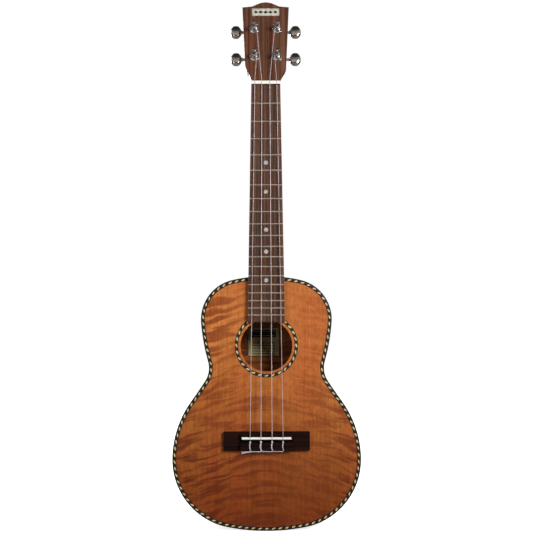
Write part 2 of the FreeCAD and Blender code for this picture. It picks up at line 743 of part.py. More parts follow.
def fingerboard():
    board = board_blank(-FINGERBOARD_T, 0)
    slots = []
    for number in range(1, FRET_COUNT + 1):
        z = NUT_Z - fret_distance(number)
        slots.append(box(-30, 30, -FINGERBOARD_T - 1, -FINGERBOARD_T + TANG_H,
                         z - TANG_W / 2, z + TANG_W / 2))
    return board.cut(Part.makeCompound(slots)).cut(position_dots())


def nut():
    """Bone nut with one slot for each string, lower towards the head."""
    half = board_half_width(NUT_Z)
    section = [
        V(-half, 0, NUT_Z), V(-half, -NUT_H, NUT_Z), V(-half, -NUT_H, NUT_Z + 1.4),
        V(-half, -NUT_BACK_H, HEAD_Z - 0.5), V(-half, -NUT_BACK_H + 0.6, HEAD_Z),
        V(-half, 0, HEAD_Z),
    ]
    blank = Part.Face(Part.makePolygon(section + section[:1])).extrude(V(2 * half, 0, 0))
    for name, _, _, _ in STRINGS:
        blank = blank.cut(nut_slot(name))
    return blank


# ================================ strings ===========================================================
def run_edges(points, bend_radii):
    """Straight runs joined by tangent arcs, with one radius for each inner point."""
    edges = []
    start = points[0]
    for index, radius in enumerate(bend_radii):
        before, corner, after = points[index:index + 3]
        arrive = (corner - before).normalize()
        leave = (after - corner).normalize()
        turn = arrive.getAngle(leave)
        reach = radius * math.tan(turn / 2)
        arc_in, arc_out = corner - arrive * reach, corner + leave * reach
        inward = (leave - arrive).normalize()
        arc_mid = corner + inward * (radius / math.cos(turn / 2) - radius)
        if (arc_in - start).Length > SHORTEST_RUN:
            edges.append(Part.LineSegment(start, arc_in).toShape())
        edges.append(Part.Arc(arc_in, arc_mid, arc_out).toShape())
        start = arc_out
    edges.append(Part.LineSegment(start, points[-1]).toShape())
    return edges


def tube(edges, diameter):
    """Round tube along tangent edges; prints a line if its volume isn't section times length."""
    first = edges[0]
    origin = first.valueAt(first.FirstParameter)
    heading = first.tangentAt(first.FirstParameter)
    ring = Part.Wire([Part.Circle(origin, heading, diameter / 2).toShape()])
    solid = Part.Wire(edges).makePipeShell([ring], True, False)
    expected = math.pi * diameter ** 2 / 4 * sum(edge.Length for edge in edges)
    if abs(solid.Volume / expected - 1) > 0.01:
        print("tube volume is off:", solid.Volume, "expected", expected)
    return solid


def string_data(name):
    """Diameter, x at the saddle, x at the nut, and the post's x and u of one string."""
    diameter, saddle_x, nut_x = [row[1:] for row in STRINGS if row[0] == name][0]
    post_x, post_u = [row[1:] for row in POSTS if row[0] == name][0]
    return diameter, saddle_x, nut_x, post_x, post_u


def first_turn_h(diameter):
    return FIRST_TURN_H + diameter / 2


def post_touch(name):
    """Where the string meets its first turn in the head's plane, with angle, side and radius."""
    diameter, _, nut_x, post_x, post_u = string_data(name)
    side = math.copysign(1.0, -post_x)
    radius = POST_WAIST_R + TURN_GAP + diameter / 2
    to_nut = V(nut_x - post_x, -NUT_T - post_u, 0)
    angle = math.atan2(to_nut.y, to_nut.x) + side * math.acos(radius / to_nut.Length)
    touch = V(post_x + radius * math.cos(angle), post_u + radius * math.sin(angle), 0)
    return touch, angle, side, radius


def approach_point(name):
    """The string's last bend, a little before it reaches the post."""
    diameter = string_data(name)[0]
    touch, angle, side, _ = post_touch(name)
    back = V(math.sin(angle), -math.cos(angle), 0) * (side * APPROACH)
    return head_point(touch.x + back.x, touch.y + back.y, first_turn_h(diameter))


def crest_radius(diameter):
    """Radius of the string's middle line where it wraps over the saddle's crest."""
    return SADDLE_T / 2 + diameter / 2 + STRING_REST


def tie_point(name):
    """Where the string turns into its hole in the tie block."""
    return V(string_data(name)[1], -TIE_HOLE_H, TIE_HIGH_Z + 0.9)


def rise_angle(start_z, start_y, radius):
    """Angle from the Z direction of the line that leaves a point and touches the crest."""
    span_z, span_y = abs(SADDLE_Z - start_z), SADDLE_TOP - SADDLE_T / 2 + start_y
    return math.atan2(span_y, span_z) + math.asin(radius / math.hypot(span_z, span_y))


def saddle_point(name):
    """Corner of the two straight runs that touch the saddle's crest from nut and tie hole."""
    diameter, saddle_x = string_data(name)[:2]
    radius = crest_radius(diameter)
    rear = rise_angle(tie_point(name).z, tie_point(name).y, radius)
    front = rise_angle(nut_point(name).z, nut_point(name).y, radius)
    half = 0.5 * (rear + front)
    lean = 0.5 * (rear - front)
    reach = radius / math.cos(half)
    crest_y = -SADDLE_TOP + SADDLE_T / 2
    return V(saddle_x, crest_y - reach * math.cos(lean), SADDLE_Z - reach * math.sin(lean))


def nut_point(name):
    return V(string_data(name)[2], -STRING_NUT_H, NUT_Z + 0.9)


def string(name):
    """One string: a turn round the post, nut, saddle, tie hole, loop on the tie block, tail."""
    diameter, saddle_x, _, post_x, post_u = string_data(name)
    _, angle, side, radius = post_touch(name)
    height = first_turn_h(diameter)

    def on_turn(degrees):
        turned = angle + side * math.radians(degrees)
        x = post_x + radius * math.cos(turned)
        return head_point(x, post_u + radius * math.sin(turned), height)

    last_turn = Part.Arc(on_turn(285), on_turn(140), on_turn(0)).toShape()
    top = -TIE_H - diameter / 2 - STRING_REST
    rear = BRIDGE_LOW_Z - diameter / 2 - STRING_REST
    fold = TIE_HIGH_Z - 1.8
    twin = saddle_x - 2 * diameter
    tail_y = -TIE_H + 1.4
    points = [
        on_turn(0), approach_point(name), nut_point(name), saddle_point(name),
        tie_point(name), V(saddle_x, -TIE_HOLE_H, rear),
        V(saddle_x, top, rear), V(saddle_x, top, fold), V(twin, top, fold),
        V(twin, top, rear), V(twin, tail_y, rear), V(twin - TAIL_L, tail_y, rear),
    ]
    tight = diameter * 0.75
    radii = [20.0, NUT_BEND_R, crest_radius(diameter), 1.4]
    radii += [tight] * 2 + [diameter] * 2 + [tight] * 2
    return tube([last_turn] + run_edges(points, radii), diameter)


def nut_slot(name):
    """Tool that cuts one string's slot: a channel along the string and the space above it."""
    slot_d = string_data(name)[0] + 2 * STRING_REST
    apex = nut_point(name)
    before = apex + (saddle_point(name) - apex).normalize() * 12.0
    after = apex + (approach_point(name) - apex).normalize() * 12.0
    channel = tube(run_edges([before, apex, after], [NUT_BEND_R]), slot_d)
    above = Part.makeBox(slot_d, 6.0, 8.0, V(apex.x - slot_d / 2, apex.y - 6.0, NUT_Z - 1))
    return channel.fuse(above)


def winding(name):
    """The turns above the first one, the rise to the post's hole and the end through it."""
    diameter = string_data(name)[0]
    low = first_turn_h(diameter) + diameter / 2 + TURN_GAP
    high = low + 2 * diameter
    radius = diameter / 2
    middle = POST_WAIST_R + radius
    turns = Part.makeTorus(middle, radius, V(0, 0, low + radius))
    turns = turns.fuse(Part.makeTorus(middle, radius, V(0, 0, high - radius)))
    sleeve = Part.makeCylinder(POST_WAIST_R + diameter, diameter, V(0, 0, low + radius))
    turns = turns.fuse(sleeve.cut(Part.makeCylinder(POST_WAIST_R, 40, V(0, 0, 0))))
    rise = Part.makeCylinder(radius, POST_HOLE_H - low - radius, V(0, middle, low + radius))
    corner = Part.makeSphere(radius, V(0, middle, POST_HOLE_H))
    end = Part.makeCylinder(radius, 2 * middle + 1.6, V(0, middle, POST_HOLE_H), V(0, -1, 0))
    coil = turns.fuse(rise).fuse(corner).fuse(end)
    return coil.removeSplitter()


# ================================ tuners ============================================================
# Each piece is made for a treble-side tuner with its post on the h axis, then mirrored for the
# bass side. The worm's axis lies along x, beyond the wheel as seen from the nut.
MESH_U = TEETH * MODULE / 2 + WORM_PITCH_R
THREAD_PITCH = math.pi * MODULE


def turned(profile):
    """Solid of revolution about the h axis from (radius, height) pairs."""
    points = [V(radius, 0, height) for radius, height in profile]
    face = Part.Face(Part.makePolygon(points + points[:1]))
    return face.revolve(V(0, 0, 0), V(0, 0, 1), 360)


def x_cylinder(radius, x0, x1):
    """Cylinder on the worm's axis."""
    return Part.makeCylinder(radius, x1 - x0, V(x0, MESH_U, MESH_H), V(1, 0, 0))


def post():
    seat_top = MESH_H + WHEEL_W / 2
    body = turned([
        (0, POST_BOTTOM), (SEAT_R, POST_BOTTOM), (SEAT_R, seat_top), (POST_R, seat_top),
        (POST_R, COLLAR_TOP + 0.2), (POST_WAIST_R, COLLAR_TOP + 0.5), (POST_WAIST_R, 13.0),
        (POST_CAP_R, 13.8), (POST_CAP_R, 16.0), (POST_CAP_R - 0.9, POST_TOP - 0.1),
        (0, POST_TOP),
    ])
    drill = Part.makeCylinder(POST_HOLE_D / 2, 8, V(0, -4, POST_HOLE_H), V(0, 1, 0))
    return body.cut(drill)


def wheel_loop(height, twist):
    """Outline of the toothed wheel at one height, turned by twist radians."""
    pitch_r = TEETH * MODULE / 2
    root_r, tip_r = pitch_r - 0.6, pitch_r + 0.48
    step = 2 * math.pi / TEETH
    points = []
    for tooth in range(TEETH):
        centre = math.pi / 2 + (tooth + 0.5) * step + twist
        for radius, share in ((root_r, -0.26), (tip_r, -0.12), (tip_r, 0.12), (root_r, 0.26)):
            angle = centre + share * step
            points.append(V(radius * math.cos(angle), radius * math.sin(angle), height))
    return Part.makePolygon(points + points[:1])


def worm_wheel():
    """Wheel with slanted teeth; a tooth space faces the worm."""
    twist = THREAD_PITCH / (2 * math.pi * WORM_PITCH_R) * (WHEEL_W / 2) / (TEETH * MODULE / 2)
    low, high = MESH_H - WHEEL_W / 2, MESH_H + WHEEL_W / 2
    wheel = Part.makeLoft([wheel_loop(low, -twist), wheel_loop(high, twist)], True, True)
    return wheel.cut(Part.makeCylinder(SEAT_R, 40, V(0, 0, -40)))


def worm_thread():
    """One right-handed thread about the x axis, with its middle at x = 0 facing the wheel."""
    root_r, tip_r = WORM_PITCH_R - 0.65, WORM_PITCH_R + 0.45
    turns_before = 2.75
    start = -turns_before * THREAD_PITCH
    helix = Part.makeHelix(THREAD_PITCH, 2 * turns_before * THREAD_PITCH, WORM_PITCH_R)
    half_root, half_tip = 0.27 * THREAD_PITCH, 0.12 * THREAD_PITCH
    profile = [V(root_r, 0, -half_root), V(tip_r, 0, -half_tip), V(tip_r, 0, half_tip),
               V(root_r, 0, half_root)]
    loop = Part.makePolygon(profile + profile[:1])
    thread = Part.Wire(helix.Edges).makePipeShell([loop], True, True)
    thread.translate(V(0, 0, start))
    thread.rotate(V(0, 0, 0), V(0, 1, 0), 90)
    thread.translate(V(0, MESH_U, MESH_H))
    return thread.common(x_cylinder(5.0, -WORM_L / 2, WORM_L / 2))


def worm_shaft():
    half = WORM_L / 2
    core = x_cylinder(WORM_PITCH_R - 0.6, -half, half)
    core = core.fuse(x_cylinder(JOURNAL_R, -JOURNAL_X, -half))
    core = core.fuse(x_cylinder(SHAFT_R, half, BUTTON_NECK))
    core = core.fuse(x_cylinder(SHAFT_END_R, BUTTON_NECK, SHAFT_END_X))
    core = core.cut(x_cylinder(SCREW_R, SHAFT_END_X - 3.0, SHAFT_END_X + 1))
    return core.fuse(worm_thread()).removeSplitter()


def button():
    """Oval metal knob with a short neck, bored for the shaft and recessed for its screw."""
    bulge = Part.makeCylinder(1, BUTTON_FAR - BUTTON_NEAR, V(BUTTON_NEAR, 0, 0), V(1, 0, 0))
    stretch = FreeCAD.Matrix()
    stretch.scale(1, BUTTON_H / 2, BUTTON_T / 2)
    bulge = bulge.transformGeometry(stretch)
    blank = Part.makeBox(BUTTON_FAR - BUTTON_NEAR, BUTTON_H, BUTTON_T,
                         V(BUTTON_NEAR, -BUTTON_H / 2, -BUTTON_T / 2))
    upright = [edge for edge in blank.Edges if edge.BoundBox.ZLength > BUTTON_T / 2]
    knob = bulge.common(blank.makeFillet(5.2, upright))
    neck_cone = Part.makeCone(2.5, 3.4, 4.0, V(BUTTON_NECK, 0, 0), V(1, 0, 0))
    knob = knob.fuse(neck_cone)
    knob.translate(V(0, MESH_U, MESH_H))
    knob = knob.cut(x_cylinder(SHAFT_END_R, BUTTON_NECK - 1, SHAFT_END_X))
    knob = knob.cut(x_cylinder(SCREW_R + 0.05, SHAFT_END_X - 0.1, BUTTON_FAR + 1))
    return knob.cut(x_cylinder(SCREW_HEAD_R + 0.1, BUTTON_FAR - 1.3, BUTTON_FAR + 1))


def button_screw():
    """Countersunk screw in the knob's end, slotted across."""
    under_head = BUTTON_FAR - 1.3
    shank = x_cylinder(SCREW_R, SHAFT_END_X - 2.6, under_head)
    head = x_cylinder(SCREW_HEAD_R, under_head, BUTTON_FAR - 0.1)
    slot = Part.makeBox(1, 0.5, 2 * SCREW_HEAD_R + 1,
                        V(BUTTON_FAR - 0.6, MESH_U - 0.25, MESH_H - SCREW_HEAD_R - 0.5))
    return shank.fuse(head).cut(slot)


def housing_plan(inset, h_low, h_high):
    """Rounded block of the gear housing's plan between two heights."""
    x0, x1 = HOUSING_X[0] + inset, HOUSING_X[1] - inset
    u0, u1 = HOUSING_U[0] + inset, HOUSING_U[1] - inset
    block = Part.makeBox(x1 - x0, u1 - u0, h_high - h_low, V(x0, u0, h_low))
    upright = [edge for edge in block.Edges if edge.BoundBox.ZLength > 0.5 * (h_high - h_low)]
    return block.makeFillet(HOUSING_CORNER_R - inset, upright)


def tuner_housing():
    """Cast cup over the worm and wheel, with the shaft's bearing boss."""
    top = -HEAD_T - PLATE_BACK_T
    low = top - HOUSING_DEPTH
    shell = housing_plan(0, low, top)
    rim = [edge for edge in shell.Edges if abs(edge.BoundBox.ZMax - low) < 0.01]
    shell = shell.makeFillet(1.6, rim).fuse(x_cylinder(BOSS_R, 6.0, BOSS_END_X))
    shell = shell.cut(housing_plan(HOUSING_WALL, low + HOUSING_WALL, top))
    shell = shell.cut(x_cylinder(SHAFT_R + RUNNING, 5.0, BOSS_END_X + 1))
    return shell.cut(x_cylinder(JOURNAL_R + RUNNING, -JOURNAL_X - 0.1, 0))


def base_plate():
    """Metal plate between the head and the housing, with the ear for its screw."""
    top = -HEAD_T
    low = top - PLATE_BACK_T
    plate = housing_plan(0, low, top)
    ear = Part.makeCylinder(3.4, PLATE_BACK_T, V(0, EAR_U, low))
    tongue = Part.makeBox(6.8, -EAR_U - 5, PLATE_BACK_T, V(-3.4, EAR_U, low))
    plate = plate.fuse(ear).fuse(tongue)
    plate = plate.cut(Part.makeCylinder(POST_R + RUNNING, 4, V(0, 0, low - 1)))
    return plate.cut(Part.makeCylinder(SCREW_R + 0.1, 4, V(0, EAR_U, low - 1))).removeSplitter()


def mount_screw():
    """Cross-slotted wood screw through the base plate's ear."""
    under_head = -HEAD_T - PLATE_BACK_T
    shank = Part.makeCylinder(SCREW_R, MOUNT_SCREW_L, V(0, EAR_U, under_head))
    head = turned([(0, under_head), (2.0, under_head), (2.0, under_head - 0.4),
                   (1.2, under_head - 1.2), (0, under_head - 1.3)])
    head.translate(V(0, EAR_U, 0))
    screw = shank.fuse(head)
    for across, along in ((2.6, 0.5), (0.5, 2.6)):
        slot = Part.makeBox(across, along, 1.0,
                            V(-across / 2, EAR_U - along / 2, under_head - 1.8))
        screw = screw.cut(slot)
    return screw


def bushing():
    """Threaded sleeve in the head with a hexagonal head and a collar, bored for the post."""
    corners = []
    for corner in range(6):
        angle = math.radians(30 + 60 * corner)
        reach = HEX_AF / 2 / math.cos(math.radians(30))
        corners.append(V(reach * math.cos(angle), reach * math.sin(angle), WASHER_T))
    hexagon = Part.Face(Part.makePolygon(corners + corners[:1]))
    hexagon = hexagon.extrude(V(0, 0, HEX_TOP - WASHER_T))
    dome = Part.makeCone(6.8, 4.6, HEX_TOP - WASHER_T, V(0, 0, WASHER_T))
    sleeve = Part.makeCylinder(BUSHING_R, BUSHING_SLEEVE + WASHER_T, V(0, 0, -BUSHING_SLEEVE))
    collar = Part.makeCylinder(COLLAR_R, COLLAR_TOP - HEX_TOP, V(0, 0, HEX_TOP))
    body = hexagon.common(dome).fuse(sleeve).fuse(collar)
    return body.cut(Part.makeCylinder(POST_R + RUNNING, 40, V(0, 0, -20))).removeSplitter()


def washer():
    return turned([(BUSHING_R, 0), (WASHER_R, 0), (WASHER_R, 0.5), (WASHER_R - 0.3, WASHER_T),
                   (BUSHING_R, WASHER_T)])


def at_post(shape, name):
    """Puts a tuner piece in place, mirrored on the bass side."""
    _, _, _, post_x, post_u = string_data(name)
    placed = shape.copy()
    if post_x < 0:
        placed = placed.mirror(V(0, 0, 0), V(1, 0, 0))
    placed.translate(V(post_x, post_u, 0))
    return head_place(placed)


def at_all_posts(shape):
    return Part.makeCompound([at_post(shape, row[0]) for row in POSTS])


# ================================ all nodes ===========================================================
def root_pieces():
    pieces = {
        "soundboard": soundboard(), "rope_purfling": rope_purfling(),
        "black_lines": black_lines(), "rosette_rope": rosette_rope(),
        "top_binding": top_binding(), "back_binding": back_binding(),
        "back_plate": back_plate(), "side_bass": side_half(-1), "side_treble": side_half(1),
        "neck_block": neck_block(), "tail_block": tail_block(), "linings": linings(),
        "soundboard_braces": soundboard_braces(), "bridge_plate": bridge_plate(),
        "back_braces": back_braces(), "label": label(), "bridge": bridge(), "saddle": saddle(),
        "neck": neck(), "heel_cap": heel_cap(), "head_veneer": head_veneer(),
        "head_plate": head_plate(), "fingerboard": fingerboard(), "frets": frets(),
        "position_dots": position_dots(), "nut": nut(),
        "tuner_housings": at_all_posts(tuner_housing()),
        "tuner_base_plates": at_all_posts(base_plate()),
        "tuner_screws": at_all_posts(mount_screw()),
        "tuner_bushings": at_all_posts(bushing()), "tuner_washers": at_all_posts(washer()),
    }
    for name, _, _, _ in STRINGS:
        pieces["string_" + name] = string(name)
    return pieces


def turning_pieces():
    kinds = {
        "post": post(), "worm_wheel": worm_wheel(), "worm_shaft": worm_shaft(),
        "button": button(), "button_screw": button_screw(),
    }
    pieces = {}
    for name, _, _ in POSTS:
        for kind, shape in kinds.items():
            pieces[kind + "_" + name] = at_post(shape, name)
        pieces["winding_" + name] = at_post(winding(name), name)
    return pieces


def main():
    pieces = root_pieces()
    pieces.update(turning_pieces())
    front = min(pieces["string_" + row[0]].optimalBoundingBox(False).YMin for row in STRINGS)
    middle = 0.5 * (front + DEPTH_TAIL)
    print("moved along Y by", -middle, "nut at z", NUT_Z, "head's foot at z", HEAD_Z)
    os.makedirs("parts", exist_ok=True)
    for name, shape in pieces.items():
        if not shape.isValid():
            print("not valid:", name)
        shape.translate(V(0, -middle, 0))
        shape.exportStep("parts/" + name + ".step")


main()
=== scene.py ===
"""Looks of the tenor ukulele: finer pieces, materials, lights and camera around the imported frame.

Lengths are in metres. Sizes that scene.py shares with the CAD model come from the frame's boxes
and joints, or are named here in millimetres times MM.
"""
import json
import math
import bmesh
import bpy
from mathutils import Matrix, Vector


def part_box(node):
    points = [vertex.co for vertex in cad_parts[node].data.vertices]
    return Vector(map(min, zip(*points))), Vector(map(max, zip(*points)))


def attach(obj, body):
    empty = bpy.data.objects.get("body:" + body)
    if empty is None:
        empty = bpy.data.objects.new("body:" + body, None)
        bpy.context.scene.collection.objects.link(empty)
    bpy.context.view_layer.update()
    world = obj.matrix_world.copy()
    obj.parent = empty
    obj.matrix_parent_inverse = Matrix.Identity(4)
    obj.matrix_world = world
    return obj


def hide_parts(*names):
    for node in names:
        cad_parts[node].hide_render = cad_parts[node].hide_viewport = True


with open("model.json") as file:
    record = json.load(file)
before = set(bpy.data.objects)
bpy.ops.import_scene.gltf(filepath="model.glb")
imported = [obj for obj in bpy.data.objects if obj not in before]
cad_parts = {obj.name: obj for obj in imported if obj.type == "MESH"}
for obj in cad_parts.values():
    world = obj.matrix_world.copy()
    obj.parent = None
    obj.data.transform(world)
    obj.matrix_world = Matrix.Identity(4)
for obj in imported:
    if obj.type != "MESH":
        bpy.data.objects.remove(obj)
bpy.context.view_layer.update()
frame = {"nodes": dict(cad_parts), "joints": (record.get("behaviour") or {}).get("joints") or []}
MM = 0.001

# ---- places taken from the frame ----
FACE_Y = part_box("soundboard")[0].y            # the soundboard's outer face
BACK_TAIL_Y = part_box("back_binding")[1].y     # the back's outer face at the tail
ROSETTE_LOW, ROSETTE_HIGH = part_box("rosette_rope")
HOLE_Z = 0.5 * (ROSETTE_LOW.z + ROSETTE_HIGH.z)
SADDLE_LOW, SADDLE_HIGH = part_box("saddle")
NUT_LOW, NUT_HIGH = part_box("nut")
JOINTS = {joint["name"]: joint for joint in frame["joints"]}
LETTERS = ("g", "c", "e", "a")

# how strongly the top's figure shows over its width: most on the bass side and at the edges
TOP_FIGURE = ((-0.07, 0.95), (-0.012, 0.6), (0.03, 0.3), (0.07, 0.45), (0.095, 0.9))
WHITE = (255, 255, 255)
CALM_SPAN = (0.26, 0.33)      # between these heights the figure fades towards the neck
CALM_STRENGTH = 0.62
PLAIN_BAND = 0.66             # tone of the wood where no figure shows
PAINTED_SHADE_END = 0.26          # the painted shade, a darker tone towards the tail, has gone by this height
# the painted shade reaches higher on the bass side (-x), as if the light came from the treble side
PAINTED_SHADE_SLANT = 0.1
FOLD_SOFTNESS = 0.00022       # square metres, how softly mirrored boards meet
FOLD_DRIFT = 0.45

# ---- driving sizes shared with the CAD model ----
# The treble half of the outline is a chain of touching arcs: tail, lower bout, flank, low sweep,
# waist, high sweep, upper bout and top. Half widths place the bouts and the waist.
BODY_LENGTH = 312.0
TAIL_R = 250.0
LOWER_HALF_W = 116.0
LOWER_R = 84.0
FLANK_R = 120.0
LOW_SWEEP_R = 500.0           # hollow and nearly straight
WAIST_HALF_W = 71.0
WAIST_Z = 198.5
WAIST_R = 29.0
HIGH_SWEEP_R = 250.0
UPPER_HALF_W = 81.0
UPPER_R = 50.0
TOP_R = 190.0
BACK_SLOPE = 0.035
BINDING_H = 5.0 * MM
SIDE_T = 2.0 * MM
BINDING_T = 1.4 * MM
ROPE_W = 2.7 * MM
INLAY_D = 1.6 * MM
ROSETTE_ROPE_W = 3.2 * MM
ROSETTE_D = 1.2 * MM
ROPE_PITCH = 8.2 * MM
ROPE_SLANT = math.radians(18)
# name: diameter, x at the saddle, x at the nut
STRINGS = {
    "g": (0.72 * MM, -20.1 * MM, -13.75 * MM), "c": (0.92 * MM, -6.9 * MM, -5.0 * MM),
    "e": (0.82 * MM, 6.7 * MM, 5.0 * MM), "a": (0.68 * MM, 20.1 * MM, 13.75 * MM),
}


def design(x, y, z):
    """Point from millimetres, with y measured from the soundboard's face."""
    return Vector((x * MM, FACE_Y + y * MM, z * MM))


# ==== node materials ====
MATERIALS = {}                # by the name asked for, as Blender may number a name that is taken


class Shade:
    """One node material. Textures read the object's own coordinates, in metres."""

    def __init__(self, name, **sockets):
        self.material = bpy.data.materials.new(name)
        self.material.use_nodes = True
        MATERIALS[name] = self.material
        self.tree = self.material.node_tree
        self.surface = self.tree.nodes["Principled BSDF"]
        for socket, value in sockets.items():
            self.surface.inputs[socket.replace("_", " ")].default_value = value
        self.coordinates = self.node("ShaderNodeTexCoord")

    def node(self, kind, **settings):
        made = self.tree.nodes.new(kind)
        for key, value in settings.items():
            setattr(made, key, value)
        return made

    def feed(self, socket, value):
        """Puts a number, colour or another node's output into a socket."""
        if isinstance(value, bpy.types.NodeSocket):
            self.tree.links.new(value, socket)
        else:
            socket.default_value = value

    def place(self, scale, vector=None, offset=(0, 0, 0), turn=(0, 0, 0)):
        mapping = self.node("ShaderNodeMapping")
        self.feed(mapping.inputs["Vector"], vector or self.coordinates.outputs["Object"])
        mapping.inputs["Scale"].default_value = scale
        mapping.inputs["Location"].default_value = offset
        mapping.inputs["Rotation"].default_value = turn
        return mapping.outputs["Vector"]

    def noise(self, vector, detail=3.0, roughness=0.5, distortion=0.0):
        texture = self.node("ShaderNodeTexNoise")
        self.feed(texture.inputs["Vector"], vector)
        texture.inputs["Scale"].default_value = 1.0
        texture.inputs["Detail"].default_value = detail
        texture.inputs["Roughness"].default_value = roughness
        texture.inputs["Distortion"].default_value = distortion
        return texture.outputs["Fac"]

    def span(self, value, low, high, to_low=0.0, to_high=1.0):
        """Maps low..high onto to_low..to_high, clamped, with soft ends."""
        mapped = self.node("ShaderNodeMapRange", interpolation_type="SMOOTHSTEP")
        self.feed(mapped.inputs["Value"], value)
        for socket, number in (("From Min", low), ("From Max", high),
                               ("To Min", to_low), ("To Max", to_high)):
            mapped.inputs[socket].default_value = number
        return mapped.outputs["Result"]

    def math(self, operation, first, second=0.0):
        made = self.node("ShaderNodeMath", operation=operation)
        self.feed(made.inputs[0], first)
        self.feed(made.inputs[1], second)
        return made.outputs[0]

    def mix(self, share, first, second, blend="MIX"):
        made = self.node("ShaderNodeMix", data_type="RGBA", blend_type=blend)
        self.feed(made.inputs["Factor"], share)
        self.feed(made.inputs[6], first)
        self.feed(made.inputs[7], second)
        return made.outputs[2]

    def tint(self, colour, strength, value, low, high, dark, light):
        """Colour multiplied, at a strength, by a tone between dark and light that follows value."""
        tone = self.mix(self.span(value, low, high), rgb(*dark), rgb(*light))
        return self.mix(strength, colour, tone, "MULTIPLY")

    def split(self, vector=None):
        """Sockets X, Y and Z of a vector, or of the object's own coordinates."""
        parts = self.node("ShaderNodeSeparateXYZ")
        self.feed(parts.inputs[0], vector or self.coordinates.outputs["Object"])
        return parts.outputs

    def joined(self, **parts):
        made = self.node("ShaderNodeCombineXYZ")
        for axis, value in parts.items():
            self.feed(made.inputs[axis], value)
        return made.outputs[0]

    def bump(self, height, distance, strength=1.0, normal=None):
        made = self.node("ShaderNodeBump")
        self.feed(made.inputs["Height"], height)
        made.inputs["Distance"].default_value = distance
        made.inputs["Strength"].default_value = strength
        if normal is not None:
            self.feed(made.inputs["Normal"], normal)
        return made.outputs["Normal"]

    def round_edges(self, radius):
        """Normal that rounds sharp edges by a small radius."""
        made = self.node("ShaderNodeBevel", samples=4)
        made.inputs["Radius"].default_value = radius
        return made.outputs["Normal"]

    def finish(self, colour=None, roughness=None, normal=None):
        if colour is not None:
            self.feed(self.surface.inputs["Base Color"], colour)
        if roughness is not None:
            self.feed(self.surface.inputs["Roughness"], roughness)
        if normal is not None:
            self.feed(self.surface.inputs["Normal"], normal)


def rgb(red, green, blue):
    """Linear colour from 0..255 display values."""
    shares = [channel / 255 for channel in (red, green, blue)]
    return tuple(s / 12.92 if s <= 0.04045 else ((s + 0.055) / 1.055) ** 2.4
                 for s in shares) + (1.0,)


def mirrored_coordinates(shade, slope):
    """Object coordinates folded about x = 0, as book-matched boards are, with slanting rows.

    The fold is soft, and the halves drift apart away from it.
    """
    parts = shade.split()
    square = shade.math("MULTIPLY", parts["X"], parts["X"])
    across = shade.math("SQRT", shade.math("ADD", square, FOLD_SOFTNESS))
    along = shade.math("ADD", parts["Z"], shade.math("MULTIPLY", across, slope))
    drift = shade.math("ADD", parts["Y"], shade.math("MULTIPLY", parts["X"], FOLD_DRIFT))
    return shade.joined(X=across, Y=drift, Z=along)


def wrapped_coordinates(shade):
    """Coordinates of a bent rib: x across it, z along its length."""
    parts = shade.split(shade.coordinates.outputs["UV"])
    return shade.joined(X=parts["Y"], Z=parts["X"])


